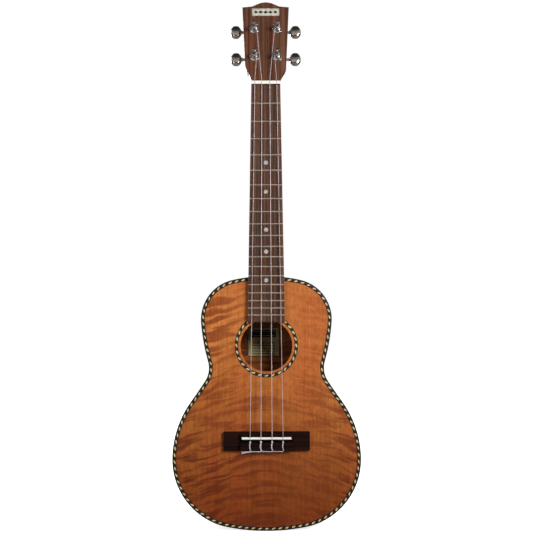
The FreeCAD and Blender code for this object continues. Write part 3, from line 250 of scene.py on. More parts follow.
def curly_wood(name, coordinates, light, dark, seed, figure=None, tail=None):
    """Figured wood: bands across the grain, long fibres, short pores, clear lacquer.

    figure is the strength of the bands over the real x, as (x, strength) pairs in metres;
    tail is a colour multiplied in towards z = 0 and, a little more, towards -x: painted shade that
    darkens the lower bout and the bass side.
    """
    shade = Shade(name, Roughness=0.42, Specular_IOR_Level=0.3, Coat_Weight=0.2,
                  Coat_Roughness=0.14)
    base = coordinates(shade)
    sway = shade.noise(shade.place((18, 18, 26), base, (seed, 0, 3)), 2.0)
    shift = shade.math("MULTIPLY", shade.math("SUBTRACT", sway, 0.5), 0.02)
    parts = shade.split(base)
    warped = shade.joined(X=parts["X"], Z=shade.math("ADD", parts["Z"], shift))
    broad = shade.noise(shade.place((23, 23, 150), warped, (seed, 5, 0)), 1.0, 0.4)
    narrow = shade.noise(shade.place((40, 40, 330), warped, (0, seed, 4)), 2.0)
    flame = shade.math("ADD", shade.math("MULTIPLY", broad, 0.6),
                       shade.math("MULTIPLY", narrow, 0.4))
    bands = shade.span(flame, 0.42, 0.55)
    patch = shade.noise(shade.place((15, 15, 9), base, (seed, 2, 9)), 1.0)
    strength = shade.span(patch, 0.33, 0.6, 0.3, 1.0)
    real = shade.split()
    if figure is not None:
        for (x0, s0), (x1, s1) in zip(figure, figure[1:]):
            share = shade.span(real["X"], x0, x1, s0, s1)
            strength = share if (x0, s0) == figure[0] else shade.math(
                "MULTIPLY", strength, shade.math("DIVIDE", share, s0))
        strength = shade.math("MULTIPLY", strength, shade.span(patch, 0.33, 0.6, 0.5, 1.0))
        calm = shade.span(real["Z"], *CALM_SPAN, 1.0, CALM_STRENGTH)
        strength = shade.math("MULTIPLY", strength, calm)
    bands = shade.mix(strength, (PLAIN_BAND, PLAIN_BAND, PLAIN_BAND, 1), bands)
    fibre = shade.noise(shade.place((420, 420, 8), base, (0, seed, 0)), 4.0, 0.65)
    lines = shade.span(shade.noise(shade.place((150, 150, 2.5), base, (seed, 4, 1)), 3.0, 0.7),
                       0.56, 0.72)
    mottle = shade.noise(shade.place((260, 260, 170), base, (seed, 1, 6)), 3.0, 0.6)
    fine = shade.noise(shade.place((2400, 2400, 60), base, (seed, seed, 0)), 2.0)
    pores = shade.span(shade.noise(shade.place((1900, 1900, 150), base, (3, 0, seed)), 1.0),
                       0.66, 0.76)
    hue = shade.noise(shade.place((22, 22, 5), base, (seed, 7, 0)), 2.0)
    colour = shade.mix(bands, dark, light)
    colour = shade.tint(colour, 0.65, fibre, 0.3, 0.7, (216, 204, 198), WHITE)
    colour = shade.tint(colour, 0.55, mottle, 0.32, 0.68, (208, 196, 186), WHITE)
    colour = shade.mix(shade.math("MULTIPLY", lines, 0.15), colour, rgb(122, 58, 24))
    colour = shade.tint(colour, 0.8, hue, 0.35, 0.65, (255, 228, 214), (250, 250, 234))
    # Painted shade: towards the tail and the bass side the colour is multiplied by tail, darkening
    # the lower bout as weaker light would.
    if tail is not None:
        slant = shade.math("ADD", real["Z"], shade.math("MULTIPLY", real["X"], PAINTED_SHADE_SLANT))
        low = shade.span(slant, 0.0, PAINTED_SHADE_END, 1.0, 0.0)
        colour = shade.mix(low, colour, shade.mix(1.0, colour, tail, "MULTIPLY"))
    colour = shade.mix(shade.math("MULTIPLY", pores, 0.45), colour, rgb(60, 26, 10))
    relief = shade.math("ADD", shade.math("MULTIPLY", fine, 0.4), fibre)
    normal = shade.bump(relief, 0.00003, 0.35)
    normal = shade.bump(flame, 0.0012, 0.2, normal)
    rough = shade.span(fibre, 0.2, 0.8, 0.36, 0.5)
    shade.finish(colour, rough, normal)


def straight_wood(name, light, dark, seed, scale=(230, 230, 5), gloss=0.45, edge=0.35 * MM,
                  wave=0.012, shine=0.5):
    """Straight-grained wood with streaks along z, open pores and softened edges."""
    shade = Shade(name, Roughness=gloss, Specular_IOR_Level=shine)
    sway = shade.noise(shade.place((14, 14, 9), None, (seed, 0, 0)), 2.0)
    parts = shade.split()
    shift = shade.math("MULTIPLY", shade.math("SUBTRACT", sway, 0.5), wave)
    bent = shade.joined(X=shade.math("ADD", parts["X"], shift), Y=parts["Y"], Z=parts["Z"])
    streak = shade.noise(shade.place(scale, bent, (seed, seed, 0)), 4.0, 0.6)
    thin = tuple(reach * 4 for reach in scale[:2]) + (scale[2] * 4,)
    fine = shade.noise(shade.place(thin, bent, (0, seed, 0)), 3.0, 0.65)
    pores = shade.span(shade.noise(shade.place((1500, 400, 110), None, (seed, 0, 1)), 1.0),
                       0.62, 0.74)
    warm = shade.noise(shade.place((60, 9, 14), bent, (seed, 3, 0)), 2.0)
    colour = shade.mix(shade.span(streak, 0.33, 0.67), dark, light)
    colour = shade.tint(colour, 0.9, warm, 0.35, 0.65, (236, 244, 240), (255, 236, 220))
    colour = shade.tint(colour, 0.8, fine, 0.25, 0.75, (190, 180, 175), WHITE)
    colour = shade.mix(shade.math("MULTIPLY", pores, 0.6), colour, rgb(24, 12, 8))
    relief = shade.math("SUBTRACT", fine, shade.math("MULTIPLY", pores, 0.8))
    normal = shade.bump(relief, 0.00005, 0.4, shade.round_edges(edge))
    rough = shade.span(streak, 0.2, 0.8, gloss - 0.06, gloss + 0.1)
    shade.finish(colour, rough, normal)


def polished_metal(name, colour, rough_low, rough_high, edge=0.2 * MM):
    """Plated or turned metal with faint smears and rounded edges."""
    shade = Shade(name, Metallic=1.0, Base_Color=colour)
    smear = shade.noise(shade.place((180, 180, 180)), 4.0, 0.6)
    tint = shade.mix(shade.span(smear, 0.3, 0.7), colour, tuple(c * 0.86 for c in colour[:3])
                     + (1.0,))
    scratch = shade.noise(shade.place((2200, 2200, 160)), 2.0)
    normal = shade.bump(scratch, 0.000008, 0.2, shade.round_edges(edge))
    shade.finish(tint, shade.span(smear, 0.25, 0.75, rough_low, rough_high), normal)


def bone(name):
    """Polished bone: ivory with faint lengthwise clouds and pits."""
    shade = Shade(name, Roughness=0.28, Subsurface_Weight=0.15, Coat_Weight=0.2)
    shade.surface.inputs["Subsurface Scale"].default_value = 0.002
    cloud = shade.noise(shade.place((60, 300, 300)), 3.0)
    colour = shade.mix(shade.span(cloud, 0.3, 0.7), rgb(250, 248, 234), rgb(255, 255, 250))
    pits = shade.noise(shade.place((900, 2600, 2600)), 2.0)
    normal = shade.bump(pits, 0.00001, 0.3, shade.round_edges(0.15 * MM))
    shade.finish(colour, shade.span(pits, 0.3, 0.7, 0.24, 0.36), normal)


def pearl(name, cool, warm, deep):
    """Mother of pearl: pale cells with shifting green, pink and grey."""
    shade = Shade(name, Roughness=0.22, Coat_Weight=0.5, Coat_Roughness=0.05)
    cells = shade.node("ShaderNodeTexVoronoi", feature="SMOOTH_F1")
    shade.feed(cells.inputs["Vector"], shade.place((420, 420, 640)))
    cells.inputs["Scale"].default_value = 1.0
    cells.inputs["Smoothness"].default_value = 0.8
    flow = shade.noise(shade.place((260, 260, 500)), 3.0, 0.6, 1.5)
    sheen = shade.mix(shade.span(flow, 0.35, 0.65), cool, warm)
    colour = shade.mix(shade.span(cells.outputs["Distance"], 0.1, 0.75), sheen, deep)
    normal = shade.bump(flow, 0.00002, 0.4)
    shade.finish(colour, None, normal)


def nylon(name, dim, bright):
    """Clear monofilament, slightly lilac and glossy."""
    shade = Shade(name, Base_Color=bright, Roughness=0.18, IOR=1.53, Transmission_Weight=0.3)
    cloud = shade.noise(shade.place((300, 300, 300)), 2.0)
    colour = shade.mix(shade.span(cloud, 0.3, 0.7), dim, bright)
    shade.finish(colour, shade.span(cloud, 0.3, 0.7, 0.14, 0.24))


def fibre(name, colour, other, rough=0.3):
    """Pressed fibre or plain inlay wood, polished flush."""
    shade = Shade(name, Roughness=rough, Coat_Weight=0.15)
    cloud = shade.noise(shade.place((260, 260, 260)), 3.0, 0.6)
    grain = shade.noise(shade.place((1800, 500, 1800)), 2.0)
    tint = shade.mix(shade.span(cloud, 0.3, 0.7), colour, other)
    normal = shade.bump(grain, 0.00001, 0.3, shade.round_edges(0.35 * MM))
    shade.finish(tint, shade.span(grain, 0.2, 0.8, rough - 0.05, rough + 0.1), normal)


def paper(name):
    """Aged label paper with fibres and a few stains."""
    shade = Shade(name, Roughness=0.85)
    stain = shade.noise(shade.place((70, 70, 70)), 4.0, 0.6)
    fuzz = shade.noise(shade.place((1600, 1600, 1600)), 2.0)
    colour = shade.mix(shade.span(stain, 0.3, 0.75), rgb(196, 186, 132), rgb(168, 154, 104))
    shade.finish(colour, None, shade.bump(fuzz, 0.00003, 0.4))


def make_materials():
    # the last colour of curly_top is painted shade for its lower bout and bass side
    curly_wood("curly_top", lambda s: mirrored_coordinates(s, 0.25), rgb(222, 140, 69),
               rgb(154, 76, 27), 2.0, TOP_FIGURE, rgb(174, 138, 82))
    curly_wood("curly_back", lambda s: mirrored_coordinates(s, -0.12),
               rgb(190, 110, 48), rgb(130, 66, 26), 11.0)
    curly_wood("curly_sides", wrapped_coordinates, rgb(190, 110, 48), rgb(130, 66, 26), 5.0)
    fibre("rope_cream", rgb(220, 201, 150), rgb(200, 177, 120), 0.4)
    fibre("rope_black", rgb(22, 20, 18), rgb(30, 27, 24), 0.35)
    fibre("black_fibre", rgb(20, 18, 17), rgb(28, 25, 23))
    straight_wood("inside_wood", rgb(186, 120, 74), rgb(142, 84, 48), 3.0, gloss=0.7)
    paper("label_paper")
    fibre("label_ink", rgb(40, 34, 24), rgb(58, 50, 34), 0.8)
    straight_wood("dark_rosewood", rgb(44, 18, 10), rgb(14, 5, 3), 8.0,
                  (9, 260, 420), 0.6, 0.5 * MM, shine=0.08)
    straight_wood("rosewood", rgb(118, 79, 60), rgb(62, 39, 30), 4.0,
                  (420, 60, 5), 0.5, wave=0.004, shine=0.25)
    straight_wood("head_rosewood", rgb(134, 86, 58), rgb(74, 44, 38), 6.0,
                  (210, 5, 1.6), 0.45, wave=0.006, shine=0.3)
    straight_wood("mahogany", rgb(150, 82, 48), rgb(104, 52, 30), 9.0, (300, 60, 6), 0.34)
    bone("bone")
    pearl("pearl", rgb(216, 222, 204), rgb(240, 232, 224), rgb(196, 196, 182))
    pearl("dot_pearl", rgb(176, 182, 180), rgb(208, 202, 204), rgb(150, 152, 152))
    polished_metal("fret_wire", (0.58, 0.53, 0.43, 1), 0.36, 0.5, 0.1 * MM)
    nylon("nylon", rgb(200, 184, 192), rgb(228, 214, 218))
    # a whiter, brighter copy of the string nylon for the tie loops: painted highlight where the
    # loops catch the light
    nylon("nylon_tie", rgb(224, 224, 244), rgb(246, 246, 255))
    polished_metal("chrome", (0.62, 0.61, 0.60, 1), 0.10, 0.20)
    polished_metal("steel", (0.56, 0.55, 0.53, 1), 0.24, 0.4)
    polished_metal("brass", (0.72, 0.52, 0.22, 1), 0.22, 0.4)
    fibre("dark_inlay", rgb(46, 32, 26), rgb(70, 48, 36), 0.4)


# ==== mesh helpers ====
def put(name, data):
    """New object in the scene."""
    made = bpy.data.objects.new(name, data)
    bpy.context.scene.collection.objects.link(made)
    return made


def loop_faces(low, high, count):
    """Quads between two closed rings of count vertices that start at low and high."""
    return [(low + step, low + (step + 1) % count, high + (step + 1) % count, high + step)
            for step in range(count)]


def piece_from(name, vertices, faces, materials, body, smooth=True, sharp=None):
    """Object from vertices, faces and a material for each face or for all of them."""
    mesh = bpy.data.meshes.new(name)
    mesh.from_pydata([tuple(v) for v in vertices], [], faces)
    made = put(name, mesh)
    names = [materials] if isinstance(materials, str) else list(dict.fromkeys(materials))
    for key in names:
        mesh.materials.append(MATERIALS[key])
    if not isinstance(materials, str):
        mesh.polygons.foreach_set("material_index", [names.index(key) for key in materials])
    solid = bmesh.new()
    solid.from_mesh(mesh)
    bmesh.ops.recalc_face_normals(solid, faces=solid.faces)
    solid.to_mesh(mesh)
    solid.free()
    if smooth:
        mesh.shade_smooth()
    if sharp is not None:
        mesh.set_sharp_from_angle(angle=math.radians(sharp))
    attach(made, body)
    return made


def tube(name, path, radius, material, body, sides=14):
    """Round closed tube along a path, with the frame carried along it."""
    path = [Vector(p) for p in path]
    vertices, faces = [], []
    heading = (path[1] - path[0]).normalized()
    side = heading.orthogonal().normalized()
    for index, point in enumerate(path):
        ahead = path[min(index + 1, len(path) - 1)]
        behind = path[max(index - 1, 0)]
        turned = (ahead - behind).normalized()
        side = (side - turned * side.dot(turned)).normalized()
        other = turned.cross(side)
        for step in range(sides):
            angle = 2 * math.pi * step / sides
            vertices.append(point + (side * math.cos(angle) + other * math.sin(angle)) * radius)
    for ring in range(len(path) - 1):
        faces += loop_faces(ring * sides, (ring + 1) * sides, sides)
    faces.append(tuple(range(sides)))
    last = (len(path) - 1) * sides
    faces.append(tuple(last + step for step in reversed(range(sides))))
    return piece_from(name, vertices, faces, material, body, True, 50)


def smooth_path(points, steps=8):
    """Catmull-Rom curve through the points."""
    points = [Vector(p) for p in points]
    ends = [points[0] * 2 - points[1]] + points + [points[-1] * 2 - points[-2]]
    path = []
    for index in range(len(points) - 1):
        before, start, end, after = ends[index:index + 4]
        for step in range(steps):
            t = step / steps
            path.append(0.5 * (2 * start + (end - before) * t
                               + (2 * before - 5 * start + 4 * end - after) * t ** 2
                               + (3 * start - before - 3 * end + after) * t ** 3))
    path.append(points[-1])
    return path


# ==== outline ====
def circles_meet(first, first_r, second, second_r, side):
    """Where two circles meet, left (1) or right (-1) of the way from the first to the second."""
    dx, dz = second[0] - first[0], second[1] - first[1]
    apart = math.hypot(dx, dz)
    along = (apart ** 2 + first_r ** 2 - second_r ** 2) / (2 * apart)
    off = side * math.sqrt(first_r ** 2 - along ** 2)
    return first[0] + (dx * along - dz * off) / apart, first[1] + (dz * along + dx * off) / apart


def outline_circles():
    """Centre, radius and side (-1 where the outline is hollow) of each arc, tail to neck."""
    tail, top = (0.0, TAIL_R), (0.0, BODY_LENGTH - TOP_R)
    lower_x, upper_x = LOWER_HALF_W - LOWER_R, UPPER_HALF_W - UPPER_R
    lower = (lower_x, tail[1] - math.sqrt((TAIL_R - LOWER_R) ** 2 - lower_x ** 2))
    upper = (upper_x, top[1] + math.sqrt((TOP_R - UPPER_R) ** 2 - upper_x ** 2))
    flank = (LOWER_HALF_W - FLANK_R, lower[1])
    waist = (WAIST_HALF_W + WAIST_R, WAIST_Z)
    low_sweep = circles_meet(flank, FLANK_R + LOW_SWEEP_R, waist, LOW_SWEEP_R - WAIST_R, -1)
    high_sweep = circles_meet(waist, WAIST_R + HIGH_SWEEP_R, upper, HIGH_SWEEP_R - UPPER_R, 1)
    return [(tail, TAIL_R, 1), (lower, LOWER_R, 1), (flank, FLANK_R, 1),
            (low_sweep, LOW_SWEEP_R, -1), (waist, WAIST_R, -1), (high_sweep, HIGH_SWEEP_R, 1),
            (upper, UPPER_R, 1), (top, TOP_R, 1)]


def outline_arcs():
    """Centre x and z, radius, side and end angles of the treble half's arcs, tail to neck."""
    circles = outline_circles()
    joins = [(0.0, 0.0)]
    for (here, radius, side), (there, other_r, other_side) in zip(circles, circles[1:]):
        signed, other = side * radius, other_side * other_r
        joins.append(tuple((there[i] * signed - here[i] * other) / (signed - other)
                           for i in (0, 1)))
    joins.append((0.0, BODY_LENGTH))
    arcs = []
    for (centre, radius, side), first, last in zip(circles, joins, joins[1:]):
        start, end = (math.atan2(z - centre[1], x - centre[0]) for x, z in (first, last))
        if side < 0:
            start, end = start % (2 * math.pi), end % (2 * math.pi)
        arcs.append((centre[0] * MM, centre[1] * MM, radius * MM, side, start, end))
    return arcs


ARCS = outline_arcs()


def half_length(inset):
    """Length of one half of the outline, moved in by inset."""
    return sum((radius - side * inset) * abs(end - start)
               for _, _, radius, side, start, end in ARCS)


def outline_point(distance, inset, offset=0.0):
    """x and z on the outline moved in by inset plus offset, at a distance from the tail.

    The distance is measured along the inset line, up the treble side and down the bass side.
    """
    half = half_length(inset)
    distance %= 2 * half
    mirror = distance > half
    left = 2 * half - distance if mirror else distance
    for cx, cz, radius, side, start, end in ARCS:
        length = (radius - side * inset) * abs(end - start)
        if left <= length or (cx, cz, radius, side, start, end) == ARCS[-1]:
            angle = start + (end - start) * min(1.0, left / length)
            reach = radius - side * (inset + offset)
            x = cx + reach * math.cos(angle)
            return (-x if mirror else x), cz + reach * math.sin(angle)
        left -= length


def rope(name, node, place, length, width, depth, grain_length, grain_width):
    """Black band round a closed line, with slanting spindles of cream wood let into it."""
    steps = 300
    vertices, faces = [], []
    for step in range(steps):
        for share in (-0.5, 0.5):
            x, z = place(length * step / steps, share * width)
            vertices += [(x, FACE_Y, z), (x, FACE_Y + depth, z)]
    for step in range(steps):
        a, b = 4 * step, 4 * ((step + 1) % steps)
        faces += [(a, a + 2, b + 2, b), (a + 1, b + 1, b + 3, a + 3),
                  (a, b, b + 1, a + 1), (a + 2, a + 3, b + 3, b + 2)]
    materials = ["rope_black"] * len(faces)
    spindle = [(-1.0, -0.1), (-0.72, -0.72), (-0.2, -1.0), (0.45, -0.95), (0.86, -0.5),
               (1.0, 0.1), (0.72, 0.72), (0.2, 1.0), (-0.45, 0.95), (-0.86, 0.5)]
    pairs = round(length / ROPE_PITCH)
    cosine, sine = math.cos(ROPE_SLANT), math.sin(ROPE_SLANT)
    for pair in range(pairs):
        first, count = len(vertices), len(spindle)
        for y in (FACE_Y - 0.04 * MM, FACE_Y + 0.5 * depth):
            for a, b in spindle:
                a, b = 0.5 * a * grain_length, 0.5 * b * grain_width
                x, z = place(length * pair / pairs + a * cosine - b * sine,
                             a * sine + b * cosine)
                vertices.append((x, y, z))
        faces.append(tuple(range(first, first + count)))
        faces.append(tuple(range(first + 2 * count - 1, first + count - 1, -1)))
        faces += loop_faces(first, first + count, count)
        materials += ["rope_cream"] * (count + 2)
    made = piece_from(name, vertices, faces, materials, "instrument", False)
    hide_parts(node)


def edge_rope():
    inset = BINDING_T + ROPE_W / 2
    length = 2 * half_length(inset)
    rope("edge_rope", "rope_purfling",
         lambda s, offset: outline_point(s, inset, offset), length, ROPE_W, INLAY_D,
         4.7 * MM, 1.75 * MM)


def hole_rope():
    radius = 0.5 * (ROSETTE_HIGH.x - ROSETTE_LOW.x) - ROSETTE_ROPE_W / 2

    def place(s, offset):
        angle = s / radius - math.pi / 2
        reach = radius - offset
        return reach * math.cos(angle), HOLE_Z + reach * math.sin(angle)

    rope("hole_rope", "rosette_rope", place, 2 * math.pi * radius, ROSETTE_ROPE_W,
         ROSETTE_D, 5.0 * MM, 1.9 * MM)


def back_y(z):
    return BACK_TAIL_Y - BACK_SLOPE * z


def bent_rib(name, node, mirror):
    """One bent rib with grain that follows it, between the two bindings."""
    steps, rows = 150, 6
    half = half_length(0.0)
    vertices, faces, grain = [], [], []
    for index in range(steps + 1):
        s = half * index / steps
        for inset in (0.0, SIDE_T):
            x, z = outline_point(s * half_length(inset) / half, inset)
            for row in range(rows + 1):
                low, high = FACE_Y + BINDING_H, back_y(z) - BINDING_H
                y = low + (high - low) * row / rows
                vertices.append((-x if mirror else x, y, z))
                grain.append((s, y))
    ring = 2 * (rows + 1)
    for index in range(steps):
        a = index * ring
        for row in range(rows):
            faces.append((a + row, a + row + 1, a + ring + row + 1, a + ring + row))
            inner = a + rows + 1 + row
            faces.append((inner, inner + ring, inner + ring + 1, inner + 1))
        for row in (0, rows):
            faces.append((a + row, a + ring + row, a + ring + rows + 1 + row, a + rows + 1 + row))
    for index in (0, steps):
        a = index * ring
        for row in range(rows):
            faces.append((a + row, a + row + 1, a + rows + 2 + row, a + rows + 1 + row))
    made = piece_from(name, vertices, faces, "curly_sides", "instrument", True, 40)
    layer = made.data.uv_layers.new(name="grain")
    for loop in made.data.loops:
        layer.data[loop.index].uv = grain[loop.vertex_index]
    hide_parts(node)


# ==== strings ====
POST_WAIST_R = 2.3 * MM
TURN_CLEARANCE = 0.1 * MM     # between the post and the first turn
FIRST_TURN_H = 5.55 * MM
POST_HOLE_H = 11.6 * MM
STRING_NUT_H = 7.6                 # millimetres above the soundboard's plane
SADDLE_TOP = 11.1
TIE_H = 9.0
TIE_LOW_Z = 98.0
TIE_HIGH_Z = 108.0
TIE_HOLE_H = 5.6
TIE_TURNS = {"g": 1.5, "c": 1.25, "e": 1.3, "a": 1.6}
# reach to the left, droop at the tip, distance kept from the block's rear face
TIE_TAILS = {"g": (10.7, 2.3, 0.9), "c": (23.7, 0.9, 0.0), "e": (12.8, 0.2, 0.0),
             "a": (12.6, 0.3, 0.0)}
SADDLE_Z = 0.5 * (SADDLE_LOW.z + SADDLE_HIGH.z) / MM
NUT_Z = NUT_LOW.z / MM
NUT_T = (NUT_HIGH.z - NUT_LOW.z) / MM


def head_frame(letter):
    """Origin on the head's face at a post, with the directions x, u up the head and out of it."""
    joint = JOINTS["peg_turn_" + letter]
    out = Vector(joint["axis"]).normalized()
    across = Vector((1, 0, 0))
    return Vector(joint["pos_m"]), across, out.cross(across), out


def on_head(letter, x, u, h):
    origin, across, up, out = head_frame(letter)
    return origin + across * x + up * u + out * h


def turn_data(letter):
    """Angle, sense and radius of the first turn where the string meets it, in the head's plane."""
    diameter, _, nut_x = STRINGS[letter]
    origin, _, up, _ = head_frame(letter)
    side = math.copysign(1.0, -origin.x)
    radius = POST_WAIST_R + TURN_CLEARANCE + diameter / 2
    nut_foot = Vector((nut_x, origin.y, NUT_Z * MM)) - origin
    to_nut = Vector((nut_x - origin.x, nut_foot.dot(up)))
    angle = math.atan2(to_nut.y, to_nut.x) + side * math.acos(radius / to_nut.length)
    return angle, side, radius


def turn_point(letter, degrees, height, radius):
    angle, side, _ = turn_data(letter)
    swung = angle + side * math.radians(degrees)
    return on_head(letter, radius * math.cos(swung), radius * math.sin(swung), height)


def loop_strands(letter):
    """The string's way behind the saddle: through its hole, over the block, round itself."""
    diameter, x0, _ = STRINGS[letter]
    d, x = diameter / MM, x0 / MM
    rear = TIE_LOW_Z - 0.62 * d
    rise = TIE_H + 0.62 * d
    hole = [(x, -TIE_HOLE_H, TIE_HIGH_Z + 1.4), (x, -TIE_HOLE_H, TIE_HIGH_Z - 2),
            (x, -TIE_HOLE_H, TIE_LOW_Z + 1.5), (x - 0.1, -TIE_HOLE_H - 0.3, rear - 0.1),
            (x - 0.3, -rise + 1.0, rear - 0.15), (x - 0.35, -rise - 0.05, rear + 1.0)]
    turns, steps, reach = TIE_TURNS[letter], 26, 0.56 * d
    first, second = [], []
    for step in range(steps + 1):
        share = step / steps
        z = TIE_LOW_Z + 1.2 + (TIE_HIGH_Z - TIE_LOW_Z - 1.4) * share
        angle = 2 * math.pi * turns * share
        bow = math.sin(math.pi * share) - 0.9 * math.exp(-12 * share)
        for strand, phase in ((first, 0.0), (second, math.pi)):
            strand.append((x - 0.55 * bow + reach * math.cos(angle + phase),
                           -rise - reach - reach * math.sin(angle + phase), z))
    crook = [(x - 0.6 * d, -rise - 0.5, TIE_HIGH_Z + 0.7), (x - 0.9 * d, -rise + 0.6,
                                                           TIE_HIGH_Z + 1.4),
             (x, -rise + 1.5, TIE_HIGH_Z + 1.8), (x + 0.9 * d, -rise + 0.6, TIE_HIGH_Z + 1.3),
             (x + 0.6 * d, -rise - 0.5, TIE_HIGH_Z + 0.6)]
    return hole, first, crook, second


def tail_points(letter):
    """The cut end, led to the left along the block's rear edge under the next loop."""
    diameter, x0, _ = STRINGS[letter]
    d, x = diameter / MM, x0 / MM
    reach, droop, under = TIE_TAILS[letter]
    rear = TIE_LOW_Z - 0.55 * d - under
    rise = TIE_H + 0.5 * d
    return [(x - 0.2, -rise - 0.5, TIE_LOW_Z + 0.5), (x - 0.3, -rise + 0.1, rear - 0.5),
            (x - 1.4, -rise + 1.0, rear - 0.45), (x - 3.2, -rise + 1.2, rear - 0.3),
            (x - 0.55 * reach, -rise + 1.25, rear - 0.35 * droop),
            (x - 0.8 * reach, -rise + 1.25, rear - 0.7 * droop),
            (x - reach, -rise + 1.3, rear - droop)]


def string_wire(letter):
    """One string from its first turn on the post to its cut end behind the bridge."""
    diameter, saddle_x, nut_x = STRINGS[letter]
    _, _, radius = turn_data(letter)
    height = FIRST_TURN_H + diameter / 2
    path = [turn_point(letter, degrees, height, radius) for degrees in range(285, -1, -15)]
    leave = (path[-1] - path[-2]).normalized()
    clearance = diameter / 2 / MM
    path.append(path[-1] + leave * 3.0 * MM)
    nut_x, saddle_x = nut_x / MM, saddle_x / MM
    nut = [design(nut_x, -STRING_NUT_H + 0.5, NUT_Z + NUT_T + 0.4),
           design(nut_x, -STRING_NUT_H + 0.12, NUT_Z + 2.6),
           design(nut_x, -STRING_NUT_H, NUT_Z + 0.7)]
    crest = SADDLE_TOP + clearance + 0.03
    saddle = [design(saddle_x, -crest + 0.15, SADDLE_Z + 1.4), design(saddle_x, -crest, SADDLE_Z),
              design(saddle_x, -crest + 0.5, SADDLE_Z - 1.3),
              design(saddle_x, -crest + 1.3, SADDLE_Z - 1.9)]
    hole, first, crook, second = loop_strands(letter)
    path += nut + saddle + [design(*hole[0])]
    made = tube("wire_" + letter, path, diameter / 2, "nylon", "instrument", 12)
    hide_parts("string_" + letter)
    behind = [design(*p) for p in hole + first + crook + second[::-1] + tail_points(letter)]
    # the loops and the cut end take the brighter nylon copy, a painted highlight
    tie = tube("tie_" + letter, smooth_path(behind, 5), diameter / 2, "nylon_tie",
               "instrument", 12)


def coil(letter):
    """The turns that climb the post from the first one, and the end through the post's hole."""
    diameter = STRINGS[letter][0]
    radius = POST_WAIST_R + diameter / 2 + 0.02 * MM
    low = FIRST_TURN_H + 0.5 * diameter
    path = []
    climb_from, turns = 300, 2.4
    steps = 60
    for step in range(steps + 1):
        share = step / steps
        height = low + 0.15 * diameter + diameter * 1.04 * turns * share
        path.append(turn_point(letter, climb_from + 360 * turns * share, height, radius))
    end_angle = climb_from + 360 * turns
    entry = turn_point(letter, end_angle + 60, POST_HOLE_H - 0.7 * diameter, radius * 1.06)
    mouth = turn_point(letter, end_angle + 80, POST_HOLE_H, radius * 1.02)
    far = turn_point(letter, end_angle + 260, POST_HOLE_H, radius + 1.4 * MM)
    tip = turn_point(letter, end_angle + 262, POST_HOLE_H - 0.4 * MM, radius + 2.6 * MM)
    middle = turn_point(letter, end_angle + 80, POST_HOLE_H, 0.0)
    path += smooth_path([path[-1], entry, mouth, middle, far, tip], 6)[1:]
    made = tube("coil_" + letter, path, diameter / 2, "nylon", "peg_" + letter, 12)
    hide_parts("winding_" + letter)


# ==== tuner keys ====
BUTTON_NEAR = 16.6 * MM
BUTTON_FAR = 30.7 * MM
BUTTON_NECK = 15.4 * MM
BUTTON_H = 17.5 * MM
BUTTON_T = 8.4 * MM


def lathe(name, origin, axis, side, profile, material, body, count=40, sharp=35):
    """Solid of revolution about an axis from (radius, distance) pairs, ends at radius 0."""
    other = axis.cross(side)
    vertices, faces = [], []
    rings = profile[1:-1]
    for radius, distance in rings:
        for step in range(count):
            angle = 2 * math.pi * step / count
            vertices.append(origin + axis * distance
                            + (side * math.cos(angle) + other * math.sin(angle)) * radius)
    for ring in range(len(rings) - 1):
        faces += loop_faces(ring * count, (ring + 1) * count, count)
    for ring, (_, distance) in ((0, profile[0]), (len(rings) - 1, profile[-1])):
        centre = len(vertices)
        vertices.append(origin + axis * distance)
        for step in range(count):
            faces.append((ring * count + step, ring * count + (step + 1) % count, centre))
    return piece_from(name, vertices, faces, material, body, True, sharp)


def key_frame(letter):
    """Point on the key's axis above the post, with outward, up and front directions."""
    joint = JOINTS["key_turn_" + letter]
    origin = Vector(joint["pos_m"])
    outward = Vector(joint["axis"]).normalized()
    _, _, up, out = head_frame(letter)
    return origin, outward, up, out


def rim_point(turn):
    """Outline of the button in units of its half sizes: an octagon with rounded corners."""
    c, s = abs(math.cos(turn)), abs(math.sin(turn))
    sides = (c, s, (0.56 * c + 0.52 * s) / 0.77)
    blend = 14.0
    reach = sum(side ** blend for side in sides) ** (-1 / blend)
    return reach * math.cos(turn), reach * math.sin(turn)


